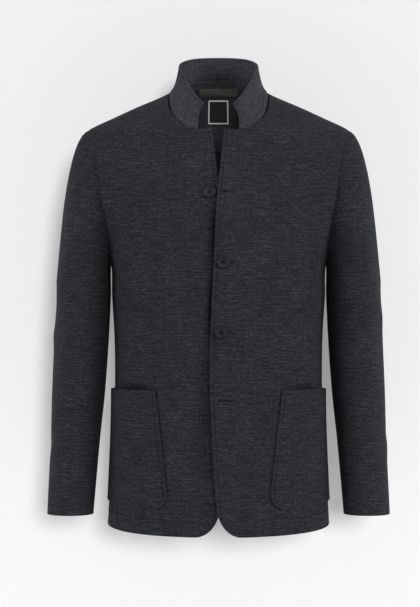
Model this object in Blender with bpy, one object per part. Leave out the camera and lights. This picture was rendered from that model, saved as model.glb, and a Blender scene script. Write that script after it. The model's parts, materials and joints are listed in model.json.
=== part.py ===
"""Unstructured wool blazer with a stand collar, filled out as if worn, with nobody in it.

Tables and sizes are in millimetres, and each vertex is put in metres as it is placed. +Z is up,
the front faces -Y and the wearer's left is +X. The origin lies between the neck ends of the
shoulder seams, where a wearer's shoulders hold the garment up.

The cloth follows one torso form: a stack of level sections, read at any angle and height. Angle 0
is the centre front, 90 is the wearer's left side and the top of the shoulder, 180 the centre back.
"""
import math
from bisect import bisect_right
from collections import namedtuple

import bmesh
import bpy
from mathutils import Vector

MM = 0.001
CLOTH = 2.0
COLLAR_WALL = 3.0
TRIM_WALL = 1.0
SEAM_GAP = 0.3

# Torso form, one row a level section, from below the hem up to the back of the neck.
Section = namedtuple("Section", "height half_width front_depth back_depth squareness")
TORSO = (
    Section(-745, 187.5, 123.0, 122.0, 2.30),
    Section(-620, 180.0, 121.0, 117.0, 2.32),
    Section(-540, 175.5, 119.5, 112.0, 2.35),
    Section(-470, 173.5, 119.0, 108.5, 2.38),
    Section(-400, 174.7, 122.0, 110.0, 2.40),
    Section(-334, 178.7, 126.5, 116.0, 2.40),
    Section(-283, 180.5, 128.0, 121.0, 2.40),
    Section(-208, 204.0, 121.0, 122.0, 2.40),
    Section(-164, 224.0, 111.0, 119.5, 2.30),
    Section(-105, 236.0, 92.0, 112.0, 2.20),
    Section(-72, 230.0, 78.0, 106.0, 2.10),
    Section(-57, 217.0, 70.0, 101.5, 2.05),
    Section(-37, 175.5, 55.0, 94.0, 2.00),
    Section(-20, 138.5, 42.0, 87.0, 2.00),
    Section(4, 84.0, 33.0, 74.0, 2.00),
    Section(20, 66.0, 25.0, 60.0, 2.00),
    Section(34, 54.0, 19.0, 50.0, 2.00),
)

# Hem height is HEM_MIDDLE at the sides, lower by HEM_DROP in front and higher by it at the back.
HEM_MIDDLE = -716.5
HEM_DROP = 15.0
CORNER_RADIUS = 46.0
CORNER_ANGLE = 10.0

# Front edges, one row a height: reach is the distance from the centre towards the panel's own side.
EdgeRow = namedtuple("EdgeRow", "height reach")
UPPER_EDGE = (
    EdgeRow(-695, 0.0),
    EdgeRow(-670, -4.9),
    EdgeRow(-621, -8.2),
    EdgeRow(-555, -11.5),
    EdgeRow(-457, -14.7),
    EdgeRow(-392, -13.4),
    EdgeRow(-261, -7.4),
    EdgeRow(-166, -2.4),
    EdgeRow(-122, 2.4),
    EdgeRow(-58, 9.0),
)
UNDER_EDGE = (
    EdgeRow(-695, 0.0),
    EdgeRow(-620, -10.0),
    EdgeRow(-506, -17.0),
    EdgeRow(-395, -20.0),
    EdgeRow(-281, -21.5),
    EdgeRow(-211, -12.0),
    EdgeRow(-166, -3.0),
    EdgeRow(-143, 0.8),
    EdgeRow(-122, 3.4),
    EdgeRow(-58, 11.6),
)
FRONT_TOP = -58.0

# Front neckline from the collar's end up to the shoulder seam: half width at each height.
NeckRow = namedtuple("NeckRow", "height half_width")
FRONT_NECK = (
    NeckRow(-60.8, 34.5),
    NeckRow(-59.0, 43.7),
    NeckRow(-54.8, 55.1),
    NeckRow(-47.1, 66.6),
    NeckRow(-39.1, 74.4),
    NeckRow(-28.8, 80.3),
    NeckRow(-18.0, 83.7),
    NeckRow(-6.7, 84.6),
    NeckRow(4.0, 84.0),
)
NECK_HALF_WIDTH = 84.0
NECK_SIDE_HEIGHT = 4.0
BACK_NECK_RISE = 21.0
BACK_NECK_POWER = 3.5

# Armhole, an ellipse seen from the side, and the seams of the side body at the hem.
ARMHOLE_MIDDLE = -170.0
ARMHOLE_HALF_HEIGHT = 113.0
ARMHOLE_HALF_DEPTH = 62.0
ARMHOLE_STEP = 15
FRONT_SEAM_ON_ARMHOLE = 135
BACK_SEAM_ON_ARMHOLE = 225
FRONT_SEAM_AT_HEM = 63.0
BACK_SEAM_AT_HEM = 120.0

# The upper lap stands off the under lap by a hidden button, and fades out towards the side.
LAP_LIFT = 5.6
LAP_FULL_TO = 26.0
LAP_ENDS_AT = 80.0
LAP_STARTS = -75.0
LAP_FULL_BELOW = -150.0

# Sleeve rings below the armpit, from the cuff up.
Ring = namedtuple("Ring", "height centre_x centre_y half_width half_depth")
SLEEVE = (
    Ring(-700, 247.8, -20.0, 38.6, 51.0),
    Ring(-658, 245.3, -14.0, 39.5, 54.0),
    Ring(-578, 240.2, -4.0, 41.2, 59.0),
    Ring(-497, 235.2, 4.0, 44.5, 64.0),
    Ring(-415, 230.6, 6.0, 45.8, 68.0),
    Ring(-334, 227.0, 3.0, 46.2, 71.0),
    Ring(-310, 227.1, 1.0, 46.1, 71.5),
)
SLEEVE_HEAD_REACH = 30.0
SLEEVE_PIT_REACH = 3.0
SLEEVE_FORWARD_SWELL = 9.0
SLEEVE_HEAD_DROP = 4.0
SLEEVE_CROWN_PULL = 13.0
SLEEVE_FALL_SHARE = 0.57
SLEEVE_FRONT_SEAM = 150
SLEEVE_BACK_SEAM = 240
SLEEVE_CAP_ROWS = 7
SLEEVE_ARM_ROWS = 10

# Stand collar: its top edge from the front end to the centre back, one row for each step of the
# neckline, and how soon it leans in on the way up. The slanted front ends flare only near their tips.
TopRow = namedtuple("TopRow", "step width depth height")
COLLAR_TOP = (
    TopRow(0, 24.1, -60.0, -16.7),
    TopRow(1, 37.4, -50.0, -2.5),
    TopRow(2, 46.5, -39.0, 10.0),
    TopRow(3, 54.3, -27.0, 21.7),
    TopRow(4, 60.8, -13.0, 34.8),
    TopRow(5, 66.5, 3.0, 50.5),
    TopRow(6, 61.5, 18.0, 58.5),
    TopRow(7, 46.5, 33.0, 64.5),
    TopRow(8, 25.0, 42.0, 67.2),
    TopRow(9, 0.0, 45.0, 67.8),
)
LeanRow = namedtuple("LeanRow", "share lean end_lean")
COLLAR_LEAN = (
    LeanRow(0.0, 0.0, 0.0),
    LeanRow(0.22, 0.46, 0.01),
    LeanRow(0.55, 0.75, 0.14),
    LeanRow(1.0, 1.0, 1.0),
)
COLLAR_END_STEPS = 2

# Patch pockets: inner edge, level mouth, bottom and the angle of the edge behind the side. The bottom is
# given at POCKET_LOW_ANGLE and keeps its distance from the hem.
POCKET_MOUTH = -491.0
POCKET_BOTTOM = -687.0
POCKET_INNER_AT_MOUTH = 103.6
POCKET_INNER_AT_BOTTOM = 81.5
POCKET_BACK_ANGLE = 102.0
POCKET_LOW_ANGLE = 30.0
POCKET_INNER_CORNER = 30.0
POCKET_BACK_CORNER = 36.0
POCKET_COLUMNS = 14
POCKET_ROW_SHARES = (0.0, 0.02, 0.07, 0.16, 0.3, 0.48, 0.66, 0.83, 1.0)
POCKET_WALL = 2.4
POCKET_STAND_OFF = 1.0
POCKET_BELLY = 4.2

# Buttons: place across and height of each, and whether it lies on the upper lap.
ButtonRow = namedtuple("ButtonRow", "across height on_upper_lap")
BUTTONS = (
    ButtonRow(-15.1, -166.0, False),
    ButtonRow(7.5, -281.0, True),
    ButtonRow(3.6, -395.0, True),
    ButtonRow(2.0, -508.0, False),
)
BUTTON_RADIUS = 11.0
BUTTON_THICKNESS = 3.0
BUTTON_DISH_RADIUS = 7.0
BUTTON_DISH_DEPTH = 0.7
BUTTON_RIM_INNER_RADIUS = 8.0
BUTTON_RIM_OUTER_RADIUS = 10.1
BUTTON_RIM_DROP = 0.9
BUTTON_BACK_RADIUS = 9.8
BUTTON_STEPS = 20
BUTTON_HOLE_RADIUS = 0.9
BUTTON_HOLE_SPACING = 3.4

# Facing and labels inside the back neck.
FACING_STAND_OFF = CLOTH + 2.0
FACING_BOTTOM = -88.0
FACING_HALF_WIDTH = 52.0
FACING_BOTTOM_ANGLE = 19.0
FACING_TOP_DROP = 2.5
FACING_COLUMNS = 14
FACING_ROWS = 9
STRIP_HALF_WIDTH = 34.6
STRIP_TOP = 19.9
STRIP_BOTTOM = 8.5
SQUARE_HALF_WIDTH = 18.0
SQUARE_TOP = 1.7
SQUARE_BOTTOM = -39.4
LABEL_GAP = 0.9
LABEL_STAND_OFF = FACING_STAND_OFF + TRIM_WALL + LABEL_GAP

SIDES = (("left", 1), ("right", -1))

# Steps along each edge of the panels. Edges that face each other across a panel have as many steps.
FINE_STEPS = 40
CORNER_FINE_STEPS = 8
SEAM_STEPS = 12
SHOULDER_STEPS = 10
FRONT_NECK_STEPS = 5
BACK_NECK_STEPS = 4
CORNER_STEPS = 2
FRONT_EDGE_STEPS = 12
TOP_EDGE_STEPS = 2
FRONT_HEM_STEPS = 8
CENTRE_BACK_STEPS = 17
SIDE_HEM_STEPS = 6


def signed_power(value, power):
    return math.copysign(abs(value) ** power, value)


def smooth_step(share):
    share = min(max(share, 0.0), 1.0)
    return share * share * (3 - 2 * share)


def along(rows, at):
    """The columns of a table at any key, on a smooth curve through its rows."""
    keys = [row[0] for row in rows]
    at = min(max(at, keys[0]), keys[-1])
    low = min(bisect_right(keys, at) - 1, len(rows) - 2)
    span = keys[low + 1] - keys[low]
    t = (at - keys[low]) / span

    def slope(index, column):
        before = max(index - 1, 0)
        after = min(index + 1, len(rows) - 1)
        return (rows[after][column] - rows[before][column]) / (keys[after] - keys[before]) * span

    values = [at]
    for column in range(1, len(rows[0])):
        start = rows[low][column]
        end = rows[low + 1][column]
        leave = slope(low, column)
        arrive = slope(low + 1, column)
        values.append((2 * t**3 - 3 * t**2 + 1) * start + (t**3 - 2 * t**2 + t) * leave
                      + (3 * t**2 - 2 * t**3) * end + (t**3 - t**2) * arrive)
    return type(rows[0])(*values)


def torso_point(angle, height):
    """A point of the torso form."""
    section = along(TORSO, height)
    turn = math.radians(angle)
    power = 2 / section.squareness
    depth = section.front_depth if math.cos(turn) > 0 else section.back_depth
    return Vector((section.half_width * signed_power(math.sin(turn), power),
                   -depth * signed_power(math.cos(turn), power),
                   height))


def torso_normal(angle, height):
    """The direction out of the torso form at a point."""
    across = torso_point(angle + 0.5, height) - torso_point(angle - 0.5, height)
    up = torso_point(angle, height + 1) - torso_point(angle, height - 1)
    return across.cross(up).normalized()


def angle_at_width(width, height):
    """The front angle where the form is this far from the centre plane."""
    section = along(TORSO, height)
    share = min(max(width / section.half_width, -1), 1)
    return math.degrees(math.asin(signed_power(share, section.squareness / 2)))


def angle_at_depth(depth, height):
    """The angle where the form's left side is this far forward (negative) or back."""
    section = along(TORSO, height)
    reach = section.front_depth if depth < 0 else section.back_depth
    angle = math.degrees(math.acos(min((abs(depth) / reach) ** (section.squareness / 2), 1)))
    return angle if depth < 0 else 180 - angle


def hem_height(angle):
    return HEM_MIDDLE - HEM_DROP * math.cos(math.radians(angle))


def armhole_place(turn):
    """Angle and height of the armhole seam, from 0 at the shoulder through the front to 360."""
    swing = math.radians(turn)
    height = ARMHOLE_MIDDLE + ARMHOLE_HALF_HEIGHT * math.cos(swing)
    return angle_at_depth(-ARMHOLE_HALF_DEPTH * math.sin(swing), height), height


def armhole_places(first, last):
    return [armhole_place(turn) for turn in range(first, last + 1, ARMHOLE_STEP)]


def back_neck_place(width):
    """Angle and height of the back neckline at a distance from the centre back."""
    height = NECK_SIDE_HEIGHT + BACK_NECK_RISE * (1 - abs(width / NECK_HALF_WIDTH) ** BACK_NECK_POWER)
    return 180 - angle_at_width(width, height), height


def front_neck_place(height):
    return angle_at_width(along(FRONT_NECK, height).half_width, height), height


def straight(start, end, steps):
    """Evenly spaced places from one angle and height to another."""
    return [(start[0] + (end[0] - start[0]) * i / steps, start[1] + (end[1] - start[1]) * i / steps)
            for i in range(steps + 1)]


def spread(places, steps):
    """The same line of angles and heights, parted into steps of equal length on the form."""
    points = [torso_point(*place) for place in places]
    lengths = [0.0]
    for before, after in zip(points, points[1:]):
        lengths.append(lengths[-1] + (after - before).length)
    even = []
    for i in range(steps + 1):
        wanted = lengths[-1] * i / steps
        low = min(bisect_right(lengths, wanted) - 1, len(places) - 2)
        t = (wanted - lengths[low]) / (lengths[low + 1] - lengths[low])
        even.append(tuple(a + (b - a) * t for a, b in zip(places[low], places[low + 1])))
    return even


def chain(*lines):
    """Lines that follow each other, joined with their shared ends once."""
    joined = list(lines[0])
    for line in lines[1:]:
        joined += line[1:]
    return joined


def fill_panel(left, right, bottom, top):
    """A panel's places, column by column, between four edges that share their corners."""
    columns = len(bottom) - 1
    rows = len(left) - 1
    grid = []
    for i in range(columns + 1):
        u = i / columns
        line = []
        for j in range(rows + 1):
            v = j / rows
            line.append(tuple(
                (1 - u) * left[j][k] + u * right[j][k] + (1 - v) * bottom[i][k] + v * top[i][k]
                - (1 - u) * (1 - v) * bottom[0][k] - u * (1 - v) * bottom[columns][k]
                - (1 - u) * v * top[0][k] - u * v * top[columns][k]
                for k in (0, 1)))
        grid.append(line)
    return grid


def draw_back(grid, left=False, right=False, top=False, rows=None):
    """Half the seam gap off a panel's sewn edges, towards the next line of places."""
    last = len(grid) - 1
    high = len(grid[0]) - 1
    count = high + 1 if rows is None else rows
    moves = []
    if left:
        moves += [(0, j, 1, j) for j in range(count)]
    if right:
        moves += [(last, j, last - 1, j) for j in range(count)]
    if top:
        moves += [(i, high, i, high - 1) for i in range(last + 1)]
    for i, j, near_i, near_j in moves:
        edge = grid[i][j]
        near = grid[near_i][near_j]
        share = SEAM_GAP / 2 / (torso_point(*near) - torso_point(*edge)).length
        grid[i][j] = tuple(a + (b - a) * share for a, b in zip(edge, near))


def on_form(grid, side, out, thick):
    """Outer and inner points of a wall on the torso form, out by out(angle, height)."""
    outer = []
    inner = []
    for line in grid:
        outer_line = []
        inner_line = []
        for angle, height in line:
            normal = torso_normal(angle, height)
            point = torso_point(angle, height) + normal * out(angle, height)
            deep = point - normal * thick
            outer_line.append(Vector((point.x * side, point.y, point.z)))
            inner_line.append(Vector((deep.x * side, deep.y, deep.z)))
        outer.append(outer_line)
        inner.append(inner_line)
    return outer, inner


def flush(angle, height):
    return 0.0


def cloth_material(name, colour, roughness):
    material = bpy.data.materials.new(name)
    material.use_nodes = True
    shader = material.node_tree.nodes["Principled BSDF"]
    shader.inputs["Base Color"].default_value = (*colour, 1)
    shader.inputs["Roughness"].default_value = roughness
    shader.inputs["Metallic"].default_value = 0
    return material


def add_piece(name, mesh, colour, roughness):
    mesh.materials.append(cloth_material(name, colour, roughness))
    piece = bpy.data.objects.new(name, mesh)
    blazer.objects.link(piece)
    return piece


def add_wall(name, outer, inner, colour, roughness=0.9):
    """A closed wall: a grid is drawn out into a slab, and each corner goes to its place."""
    columns = len(outer) - 1
    rows = len(outer[0]) - 1
    slab = bmesh.new()
    bmesh.ops.create_grid(slab, x_segments=columns, y_segments=rows, size=1)
    drawn = bmesh.ops.extrude_face_region(slab, geom=slab.faces[:])
    for corner in drawn["geom"]:
        if isinstance(corner, bmesh.types.BMVert):
            corner.co.z = 1
    for corner in slab.verts:
        i = round((corner.co.x + 1) / 2 * columns)
        j = round((corner.co.y + 1) / 2 * rows)
        layer = inner if corner.co.z > 0.5 else outer
        corner.co = layer[i][j] * MM
    bmesh.ops.recalc_face_normals(slab, faces=slab.faces[:])
    if slab.calc_volume(signed=True) < 0:
        bmesh.ops.reverse_faces(slab, faces=slab.faces[:])
    mesh = bpy.data.meshes.new(name)
    slab.to_mesh(mesh)
    slab.free()
    mesh.shade_smooth()
    return add_piece(name, mesh, colour, roughness)


def front_side_seam():
    return straight((FRONT_SEAM_AT_HEM, hem_height(FRONT_SEAM_AT_HEM)),
                    armhole_place(FRONT_SEAM_ON_ARMHOLE), SEAM_STEPS)


def back_side_seam():
    return straight((BACK_SEAM_AT_HEM, hem_height(BACK_SEAM_AT_HEM)),
                    armhole_place(BACK_SEAM_ON_ARMHOLE), SEAM_STEPS)


def shoulder_seam():
    return straight((90.0, NECK_SIDE_HEIGHT), armhole_place(0), SHOULDER_STEPS)


def front_neckline():
    lowest = FRONT_NECK[0].height
    rise = NECK_SIDE_HEIGHT - lowest
    places = [front_neck_place(lowest + rise * i / FINE_STEPS) for i in range(FINE_STEPS + 1)]
    return spread(places, FRONT_NECK_STEPS)


def back_neckline():
    places = [back_neck_place(NECK_HALF_WIDTH * i / FINE_STEPS) for i in range(FINE_STEPS + 1)]
    return spread(places, BACK_NECK_STEPS)


def front_panel(edge):
    """Places of a front: rounded hem corner, front edge, top edge, neckline, shoulder, armhole, seam."""
    centre_height = hem_height(CORNER_ANGLE) + CORNER_RADIUS
    centre_reach = along(edge, centre_height).reach + CORNER_RADIUS

    def corner_place(turn):
        swing = math.radians(turn)
        height = centre_height - CORNER_RADIUS * math.sin(swing)
        return angle_at_width(centre_reach - CORNER_RADIUS * math.cos(swing), height), height

    def edge_place(height):
        return angle_at_width(along(edge, height).reach, height), height

    corner_up = [corner_place(45 - 45 * i / CORNER_FINE_STEPS) for i in range(CORNER_FINE_STEPS + 1)]
    corner_in = [corner_place(45 + 45 * i / CORNER_FINE_STEPS) for i in range(CORNER_FINE_STEPS + 1)]
    edge_rise = FRONT_TOP - centre_height
    edge_up = [edge_place(centre_height + edge_rise * i / FINE_STEPS) for i in range(FINE_STEPS + 1)]
    neckline = front_neckline()
    hem_starts = corner_in[-1][0]
    hem = [corner_in[-1]]
    for i in range(1, FINE_STEPS + 1):
        angle = hem_starts + (FRONT_SEAM_AT_HEM - hem_starts) * i / FINE_STEPS
        hem.append((angle, hem_height(angle)))
    left = chain(spread(corner_up, CORNER_STEPS), spread(edge_up, FRONT_EDGE_STEPS),
                 straight(edge_up[-1], neckline[0], TOP_EDGE_STEPS), neckline)
    seam = front_side_seam()
    armhole = armhole_places(0, FRONT_SEAM_ON_ARMHOLE)
    right = chain(seam, armhole[::-1])
    bottom = chain(spread(corner_in, CORNER_STEPS), spread(hem, FRONT_HEM_STEPS))
    grid = fill_panel(left, right, bottom, shoulder_seam())
    draw_back(grid, right=True, rows=len(seam))
    draw_back(grid, top=True)
    return grid


def back_panel():
    """Places of a back half, from the centre-back seam to the side-body seam and the armhole."""
    neckline = back_neckline()
    hem = []
    for i in range(FINE_STEPS + 1):
        angle = 180 + (BACK_SEAM_AT_HEM - 180) * i / FINE_STEPS
        hem.append((angle, hem_height(angle)))
    seam = back_side_seam()
    armhole = armhole_places(BACK_SEAM_ON_ARMHOLE, 360)
    centre = straight(hem[0], neckline[0], FINE_STEPS)
    left = chain(spread(centre, CENTRE_BACK_STEPS), neckline)
    grid = fill_panel(left, chain(seam, armhole), spread(hem, SHOULDER_STEPS), shoulder_seam())
    draw_back(grid, left=True, rows=CENTRE_BACK_STEPS + 1)
    draw_back(grid, right=True, rows=len(seam))
    draw_back(grid, top=True)
    return grid


def side_panel():
    """Places of a side body, between the front and back seams, under the armhole."""
    hem = []
    for i in range(SIDE_HEM_STEPS + 1):
        angle = FRONT_SEAM_AT_HEM + (BACK_SEAM_AT_HEM - FRONT_SEAM_AT_HEM) * i / SIDE_HEM_STEPS
        hem.append((angle, hem_height(angle)))
    pit = armhole_places(FRONT_SEAM_ON_ARMHOLE, BACK_SEAM_ON_ARMHOLE)
    grid = fill_panel(front_side_seam(), back_side_seam(), hem, pit)
    draw_back(grid, left=True, right=True)
    return grid


def lap_lift(angle, height):
    """How far the upper lap stands off the form."""
    across = torso_point(angle, height).x
    sideways = smooth_step((LAP_ENDS_AT - across) / (LAP_ENDS_AT - LAP_FULL_TO))
    down = smooth_step((LAP_STARTS - height) / (LAP_STARTS - LAP_FULL_BELOW))
    return LAP_LIFT * sideways * down


def sleeve_point(turn, row):
    """A point of the left sleeve: rows run from the armhole over the cap, then down to the cuff."""
    swing = math.radians(turn)
    over = math.cos(swing)

    def ring_point(height):
        ring = along(SLEEVE, height)
        return Vector((ring.centre_x + ring.half_width * over,
                       ring.centre_y - ring.half_depth * math.sin(swing), height))

    pit_ring = SLEEVE[-1].height
    if row > SLEEVE_CAP_ROWS:
        share = (row - SLEEVE_CAP_ROWS) / SLEEVE_ARM_ROWS
        return ring_point(pit_ring + (SLEEVE[0].height - pit_ring) * share)
    t = row / SLEEVE_CAP_ROWS
    start = torso_point(*armhole_place(turn)) + Vector((SEAM_GAP, 0, 0))
    end = ring_point(pit_ring)
    reach = SLEEVE_PIT_REACH + (SLEEVE_HEAD_REACH - SLEEVE_PIT_REACH) * (1 + over) / 2
    crown = max(over, 0)
    leave = start + Vector((reach, -SLEEVE_FORWARD_SWELL * math.sin(swing), -SLEEVE_HEAD_DROP * crown))
    arrive = end + Vector((-SLEEVE_CROWN_PULL * crown, 0, SLEEVE_FALL_SHARE * (start.z - end.z)))
    return (start * (1 - t) ** 3 + leave * 3 * t * (1 - t) ** 2
            + arrive * 3 * t**2 * (1 - t) + end * t**3)


def add_sleeve_piece(name, side, first, last, colour):
    """One piece of a two-piece sleeve, between two seams that run its length."""
    rows = SLEEVE_CAP_ROWS + SLEEVE_ARM_ROWS
    turns = list(range(first, last + 1, ARMHOLE_STEP))
    outer = []
    inner = []
    for turn in turns:
        outer_line = []
        inner_line = []
        for row in range(rows + 1):
            point = sleeve_point(turn, row)
            ahead = sleeve_point(turn, min(row + 0.05, rows)) - sleeve_point(turn, max(row - 0.05, 0))
            around = sleeve_point(turn + 1, row) - sleeve_point(turn - 1, row)
            normal = around.cross(ahead).normalized()
            if turn == turns[0]:
                point = point + around.normalized() * SEAM_GAP / 2
            if turn == turns[-1]:
                point = point - around.normalized() * SEAM_GAP / 2
            deep = point - normal * CLOTH
            outer_line.append(Vector((point.x * side, point.y, point.z)))
            inner_line.append(Vector((deep.x * side, deep.y, deep.z)))
        outer.append(outer_line)
        inner.append(inner_line)
    add_wall(name, outer, inner, colour)


def add_collar(colour):
    """A stand collar on the necklines of both fronts and backs, open in front."""
    half = [torso_point(*place) for place in chain(front_neckline(), back_neckline()[::-1])]
    edge = [Vector((row.width, row.depth, row.height)) for row in COLLAR_TOP]
    base = half + [Vector((-point.x, point.y, point.z)) for point in half[-2::-1]]
    top = edge + [Vector((-point.x, point.y, point.z)) for point in edge[-2::-1]]
    last = len(base) - 1
    outer = []
    inner = []
    for i, point in enumerate(base):
        run = base[min(i + 1, last)] - base[max(i - 1, 0)]
        out = Vector((-run.y, run.x, 0)).normalized()
        way = top[i] - point
        from_end = min(min(i, last - i) / COLLAR_END_STEPS, 1)
        outer_line = []
        inner_line = []
        for row in COLLAR_LEAN:
            lean_x = row.end_lean + (row.lean - row.end_lean) * from_end
            place = point + Vector((way.x * lean_x, way.y * row.lean, SEAM_GAP + way.z * row.share))
            outer_line.append(place)
            inner_line.append(place + out * COLLAR_WALL)
        outer.append(outer_line)
        inner.append(inner_line)
    add_wall("collar", outer, inner, colour)


def corner_inset(radius, up):
    """How far a rounded corner draws an edge in, this far above the bottom."""
    short = max(radius - up, 0)
    return radius - math.sqrt(radius**2 - short**2)


def pocket_grid():
    """Places of a patch pocket with two rounded lower corners, column by column."""
    grid = [[] for _ in range(POCKET_COLUMNS + 1)]
    tall = POCKET_MOUTH - POCKET_BOTTOM
    for share in POCKET_ROW_SHARES:
        height = POCKET_BOTTOM + tall * share
        inner_width = POCKET_INNER_AT_BOTTOM + (POCKET_INNER_AT_MOUTH - POCKET_INNER_AT_BOTTOM) * share
        first = angle_at_width(inner_width, height)
        last = POCKET_BACK_ANGLE
        first += (corner_inset(POCKET_INNER_CORNER, tall * share)
                  / (torso_point(first + 1, height) - torso_point(first, height)).length)
        last -= (corner_inset(POCKET_BACK_CORNER, tall * share)
                 / (torso_point(last, height) - torso_point(last - 1, height)).length)
        for i in range(POCKET_COLUMNS + 1):
            angle = first + (last - first) * i / POCKET_COLUMNS
            slant = hem_height(angle) - hem_height(POCKET_LOW_ANGLE)
            grid[i].append((angle, height + slant * (1 - share)))
    return grid


def pocket_lift(angle, height):
    """A pocket lies on the panel at its sewn edges and stands off it in the middle of its mouth."""
    up = max((height - POCKET_BOTTOM) / (POCKET_MOUTH - POCKET_BOTTOM), 0)
    first = angle_at_width(POCKET_INNER_AT_BOTTOM + (POCKET_INNER_AT_MOUTH - POCKET_INNER_AT_BOTTOM) * up,
                           height)
    across = min(max((angle - first) / (POCKET_BACK_ANGLE - first), 0), 1)
    belly = POCKET_BELLY * math.sqrt(math.sin(math.pi * across)) * up**1.5
    return POCKET_STAND_OFF + POCKET_WALL + belly


def add_button(name, row, colour):
    """A turned four-hole button with a raised rim, its back on the cloth."""
    angle = angle_at_width(row.across, row.height)
    normal = torso_normal(angle, row.height)
    lift = SEAM_GAP + (LAP_LIFT if row.on_upper_lap else 0)
    place = torso_point(angle, row.height) + normal * lift
    profile = (
        (0.0, BUTTON_THICKNESS - BUTTON_DISH_DEPTH),
        (BUTTON_DISH_RADIUS, BUTTON_THICKNESS - BUTTON_DISH_DEPTH),
        (BUTTON_RIM_INNER_RADIUS, BUTTON_THICKNESS),
        (BUTTON_RIM_OUTER_RADIUS, BUTTON_THICKNESS),
        (BUTTON_RADIUS, BUTTON_THICKNESS - BUTTON_RIM_DROP),
        (BUTTON_BACK_RADIUS, 0.0),
        (0.0, 0.0),
    )
    turned = bmesh.new()
    corners = [turned.verts.new((radius * MM, 0, up * MM)) for radius, up in profile]
    for before, after in zip(corners, corners[1:]):
        turned.edges.new((before, after))
    bmesh.ops.spin(turned, geom=turned.verts[:] + turned.edges[:], cent=(0, 0, 0), axis=(0, 0, 1),
                   angle=2 * math.pi, steps=BUTTON_STEPS)
    bmesh.ops.remove_doubles(turned, verts=turned.verts[:], dist=0.00002)
    bmesh.ops.recalc_face_normals(turned, faces=turned.faces[:])
    mesh = bpy.data.meshes.new(name)
    turned.to_mesh(mesh)
    turned.free()
    mesh.shade_smooth()
    mesh.set_sharp_from_angle(angle=math.radians(40))
    button = add_piece(name, mesh, colour, 0.45)
    button.location = place * MM
    button.rotation_mode = "QUATERNION"
    button.rotation_quaternion = normal.to_track_quat("Z", "Y")
    drill = add_hole_cutter(name + "_holes", button)
    cut = button.modifiers.new("four holes", "BOOLEAN")
    cut.operation = "DIFFERENCE"
    cut.object = drill


def add_hole_cutter(name, button):
    """Four drills in a square through a button."""
    drills = bmesh.new()
    for across in (-0.5, 0.5):
        for up in (-0.5, 0.5):
            made = bmesh.ops.create_cone(drills, cap_ends=True, segments=8, radius1=BUTTON_HOLE_RADIUS * MM,
                                         radius2=BUTTON_HOLE_RADIUS * MM, depth=3 * BUTTON_THICKNESS * MM)
            shift = (across * BUTTON_HOLE_SPACING * MM, up * BUTTON_HOLE_SPACING * MM, 0)
            bmesh.ops.translate(drills, verts=made["verts"], vec=shift)
    mesh = bpy.data.meshes.new(name)
    drills.to_mesh(mesh)
    drills.free()
    drill = bpy.data.objects.new(name, mesh)
    cutters.objects.link(drill)
    drill.parent = button
    drill.hide_render = True
    drill.display_type = "WIRE"
    return drill


def inside_back(half_width, top, bottom, columns, rows):
    """Places of a level rectangle inside the back, from its half width and two heights."""
    grid = []
    for i in range(columns + 1):
        width = half_width * (2 * i / columns - 1)
        line = []
        for j in range(rows + 1):
            height = bottom + (top - bottom) * j / rows
            line.append((180 - angle_at_width(width, height), height))
        grid.append(line)
    return grid


def facing_grid():
    """Places of the back neck facing, hung from the back neckline."""
    grid = []
    for i in range(FACING_COLUMNS + 1):
        across = 2 * i / FACING_COLUMNS - 1
        angle, height = back_neck_place(FACING_HALF_WIDTH * across)
        foot = (180 - FACING_BOTTOM_ANGLE * across, FACING_BOTTOM)
        grid.append(straight(foot, (angle, height - FACING_TOP_DROP), FACING_ROWS))
    return grid


for old in list(bpy.data.objects):
    bpy.data.objects.remove(old, do_unlink=True)
blazer = bpy.data.collections.new("wool blazer")
bpy.context.scene.collection.children.link(blazer)
cutters = bpy.data.collections.new("cutters")
bpy.context.scene.collection.children.link(cutters)

WOOL = (0.0262, 0.0273, 0.0319)
FACING_COLOUR = (0.0116, 0.0113, 0.0130)
STRIP_COLOUR = (0.0740, 0.0700, 0.0620)
LABEL_COLOUR = (0.0075, 0.0075, 0.0080)
BUTTON_COLOUR = (0.0220, 0.0225, 0.0250)

add_wall("front_left", *on_form(front_panel(UPPER_EDGE), 1, lap_lift, CLOTH), WOOL)
add_wall("front_right", *on_form(front_panel(UNDER_EDGE), -1, flush, CLOTH), WOOL)
for word, side in SIDES:
    add_wall("side_" + word, *on_form(side_panel(), side, flush, CLOTH), WOOL)
    add_wall("back_" + word, *on_form(back_panel(), side, flush, CLOTH), WOOL)
    add_sleeve_piece("upper_sleeve_" + word, side, SLEEVE_BACK_SEAM - 360, SLEEVE_FRONT_SEAM, WOOL)
    add_sleeve_piece("under_sleeve_" + word, side, SLEEVE_FRONT_SEAM, SLEEVE_BACK_SEAM, WOOL)
    add_wall("pocket_" + word, *on_form(pocket_grid(), side, pocket_lift, POCKET_WALL), WOOL)
add_collar(WOOL)
for number, row in enumerate(BUTTONS, 1):
    add_button("button_%d" % number, row, BUTTON_COLOUR)


def facing_out(angle, height):
    return -FACING_STAND_OFF


def label_out(angle, height):
    return -LABEL_STAND_OFF


add_wall("back_neck_facing", *on_form(facing_grid(), 1, facing_out, TRIM_WALL), FACING_COLOUR)
strip = inside_back(STRIP_HALF_WIDTH, STRIP_TOP, STRIP_BOTTOM, 8, 1)
add_wall("neck_label", *on_form(strip, 1, label_out, TRIM_WALL), STRIP_COLOUR)
square = inside_back(SQUARE_HALF_WIDTH, SQUARE_TOP, SQUARE_BOTTOM, 4, 4)
add_wall("square_label", *on_form(square, 1, label_out, TRIM_WALL), LABEL_COLOUR)
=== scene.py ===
# Wool blazer with a stand collar, filled out as if worn. Sizes are in millimetres, and each vertex is put in
# metres as it is placed. +Z is up, the front faces -Y and the wearer's left is +X.
import json
import math
from bisect import bisect_right
from collections import namedtuple

import bmesh
import bpy
from mathutils import Matrix, Vector

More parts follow.
